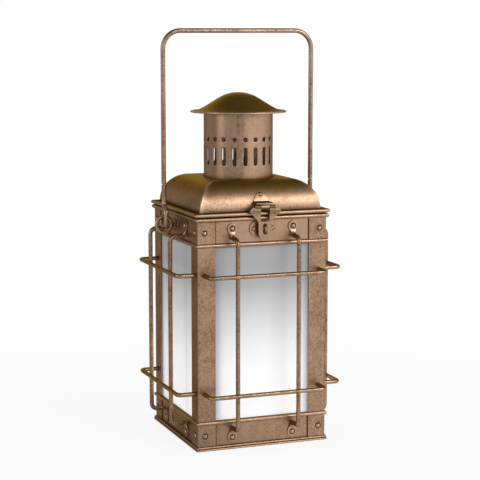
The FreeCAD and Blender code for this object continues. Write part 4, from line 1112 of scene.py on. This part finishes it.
def build_stage():
    scene = bpy.context.scene
    scene.view_settings.view_transform = "Standard"
    build_camera()
    build_floor()
    build_world()
    middle = (0, 0, 0.2)
    area_lamp("key", (1.05, -1.55, 1.15), middle, (1.0, 0.9), 13, (1.0, 0.98, 0.96))
    area_lamp("fill", (-1.9, -0.35, 0.85), middle, (0.7, 1.1), 7, (1.0, 0.99, 0.98))
    area_lamp("back", (0.4, 1.8, 1.2), middle, (1.2, 0.8), 7, (1.0, 1.0, 1.0))


# ---- add-on --------------------------------------------------------------------------------------

FINISHES = {}


class LANTERN_OT_finishes(bpy.types.Operator):
    """Make every material, and dress the pieces of the working model that stay as they are"""
    bl_idname = "lantern.finishes"
    bl_label = "Finishes"

    def execute(self, context):
        FINISHES.update(make_finishes(context.scene.lantern_colours))
        dress_nodes(FINISHES)
        return {"FINISHED"}


class LANTERN_OT_frames(bpy.types.Operator):
    """Foot, beads, rim and roof flange carried round the square case"""
    bl_idname = "lantern.frames"
    bl_label = "Rolled frames"

    def execute(self, context):
        build_frames(context.scene.lantern_sizes, FINISHES)
        return {"FINISHED"}


class LANTERN_OT_sheet(bpy.types.Operator):
    """Posts, hinge and hasp leaves, plates and pans with softened, rubbed edges that carry a painted highlight"""
    bl_idname = "lantern.sheet"
    bl_label = "Sheet pieces"

    def execute(self, context):
        build_sheet(context.scene.lantern_sizes, FINISHES)
        return {"FINISHED"}


class LANTERN_OT_cage(bpy.types.Operator):
    """Uprights with flattened ends, cross bars and the solder where they cross"""
    bl_idname = "lantern.cage"
    bl_label = "Wire cage"

    def execute(self, context):
        build_cage(context.scene.lantern_sizes, FINISHES)
        return {"FINISHED"}


class LANTERN_OT_rivets(bpy.types.Operator):
    """Rivet heads on the posts and on the flattened wire ends"""
    bl_idname = "lantern.rivets"
    bl_label = "Rivets"

    def execute(self, context):
        build_rivets(context.scene.lantern_sizes, FINISHES)
        return {"FINISHED"}


class LANTERN_OT_handle(bpy.types.Operator):
    """The bent wire handle with its hooks"""
    bl_idname = "lantern.handle"
    bl_label = "Bail handle"

    def execute(self, context):
        build_handle(context.scene.lantern_sizes, FINISHES)
        return {"FINISHED"}


class LANTERN_OT_eyes(bpy.types.Operator):
    """Eye bolts and rosettes that carry the handle"""
    bl_idname = "lantern.eyes"
    bl_label = "Eye bolts"

    def execute(self, context):
        build_eyes(context.scene.lantern_sizes, FINISHES)
        return {"FINISHED"}


class LANTERN_OT_roof(bpy.types.Operator):
    """The vaulted roof with a soldered ridge at each corner"""
    bl_idname = "lantern.roof"
    bl_label = "Roof"

    def execute(self, context):
        build_roof(context.scene.lantern_sizes, FINISHES)
        return {"FINISHED"}


class LANTERN_OT_chimney(bpy.types.Operator):
    """The rolled chimney with its two rings of vents"""
    bl_idname = "lantern.chimney"
    bl_label = "Chimney"

    def execute(self, context):
        build_chimney(context.scene.lantern_sizes, FINISHES)
        return {"FINISHED"}


class LANTERN_OT_cap(bpy.types.Operator):
    """The spun cap with its wired brim"""
    bl_idname = "lantern.cap"
    bl_label = "Chimney cap"

    def execute(self, context):
        build_cap(context.scene.lantern_sizes, FINISHES)
        return {"FINISHED"}


class LANTERN_OT_candle(bpy.types.Operator):
    """The candle and its wick"""
    bl_idname = "lantern.candle"
    bl_label = "Candle"

    def execute(self, context):
        build_candle(context.scene.lantern_sizes, FINISHES)
        return {"FINISHED"}


class LANTERN_OT_stage(bpy.types.Operator):
    """Set the camera, the pale floor, the studio light and the white background"""
    bl_idname = "lantern.stage"
    bl_label = "Stage"

    def execute(self, context):
        build_stage()
        return {"FINISHED"}


OPERATORS = (
    LANTERN_OT_stage, LANTERN_OT_finishes, LANTERN_OT_frames, LANTERN_OT_sheet,
    LANTERN_OT_cage, LANTERN_OT_rivets, LANTERN_OT_handle, LANTERN_OT_eyes,
    LANTERN_OT_roof, LANTERN_OT_chimney, LANTERN_OT_cap, LANTERN_OT_candle,
)


class LANTERN_PT_panel(bpy.types.Panel):
    """Lists the steps that build the lantern, and its sizes and colours"""
    bl_label = "Candle lantern"
    bl_idname = "LANTERN_PT_panel"
    bl_space_type = "VIEW_3D"
    bl_region_type = "UI"
    bl_category = "Lantern"

    def draw(self, context):
        for operator in OPERATORS:
            self.layout.operator(operator.bl_idname)
        for group in (context.scene.lantern_sizes, context.scene.lantern_colours):
            for name in group.__annotations__:
                self.layout.prop(group, name)


CLASSES = (LanternSizes, LanternColours, *OPERATORS, LANTERN_PT_panel)


def register():
    for kind in CLASSES:
        bpy.utils.register_class(kind)
    bpy.types.Scene.lantern_sizes = PointerProperty(type=LanternSizes)
    bpy.types.Scene.lantern_colours = PointerProperty(type=LanternColours)


def unregister():
    del bpy.types.Scene.lantern_colours
    del bpy.types.Scene.lantern_sizes
    for kind in reversed(CLASSES):
        bpy.utils.unregister_class(kind)


def main():
    register()
    for operator in OPERATORS:
        group, name = operator.bl_idname.split(".")
        getattr(getattr(bpy.ops, group), name)()


if __name__ == "__main__":
    main()
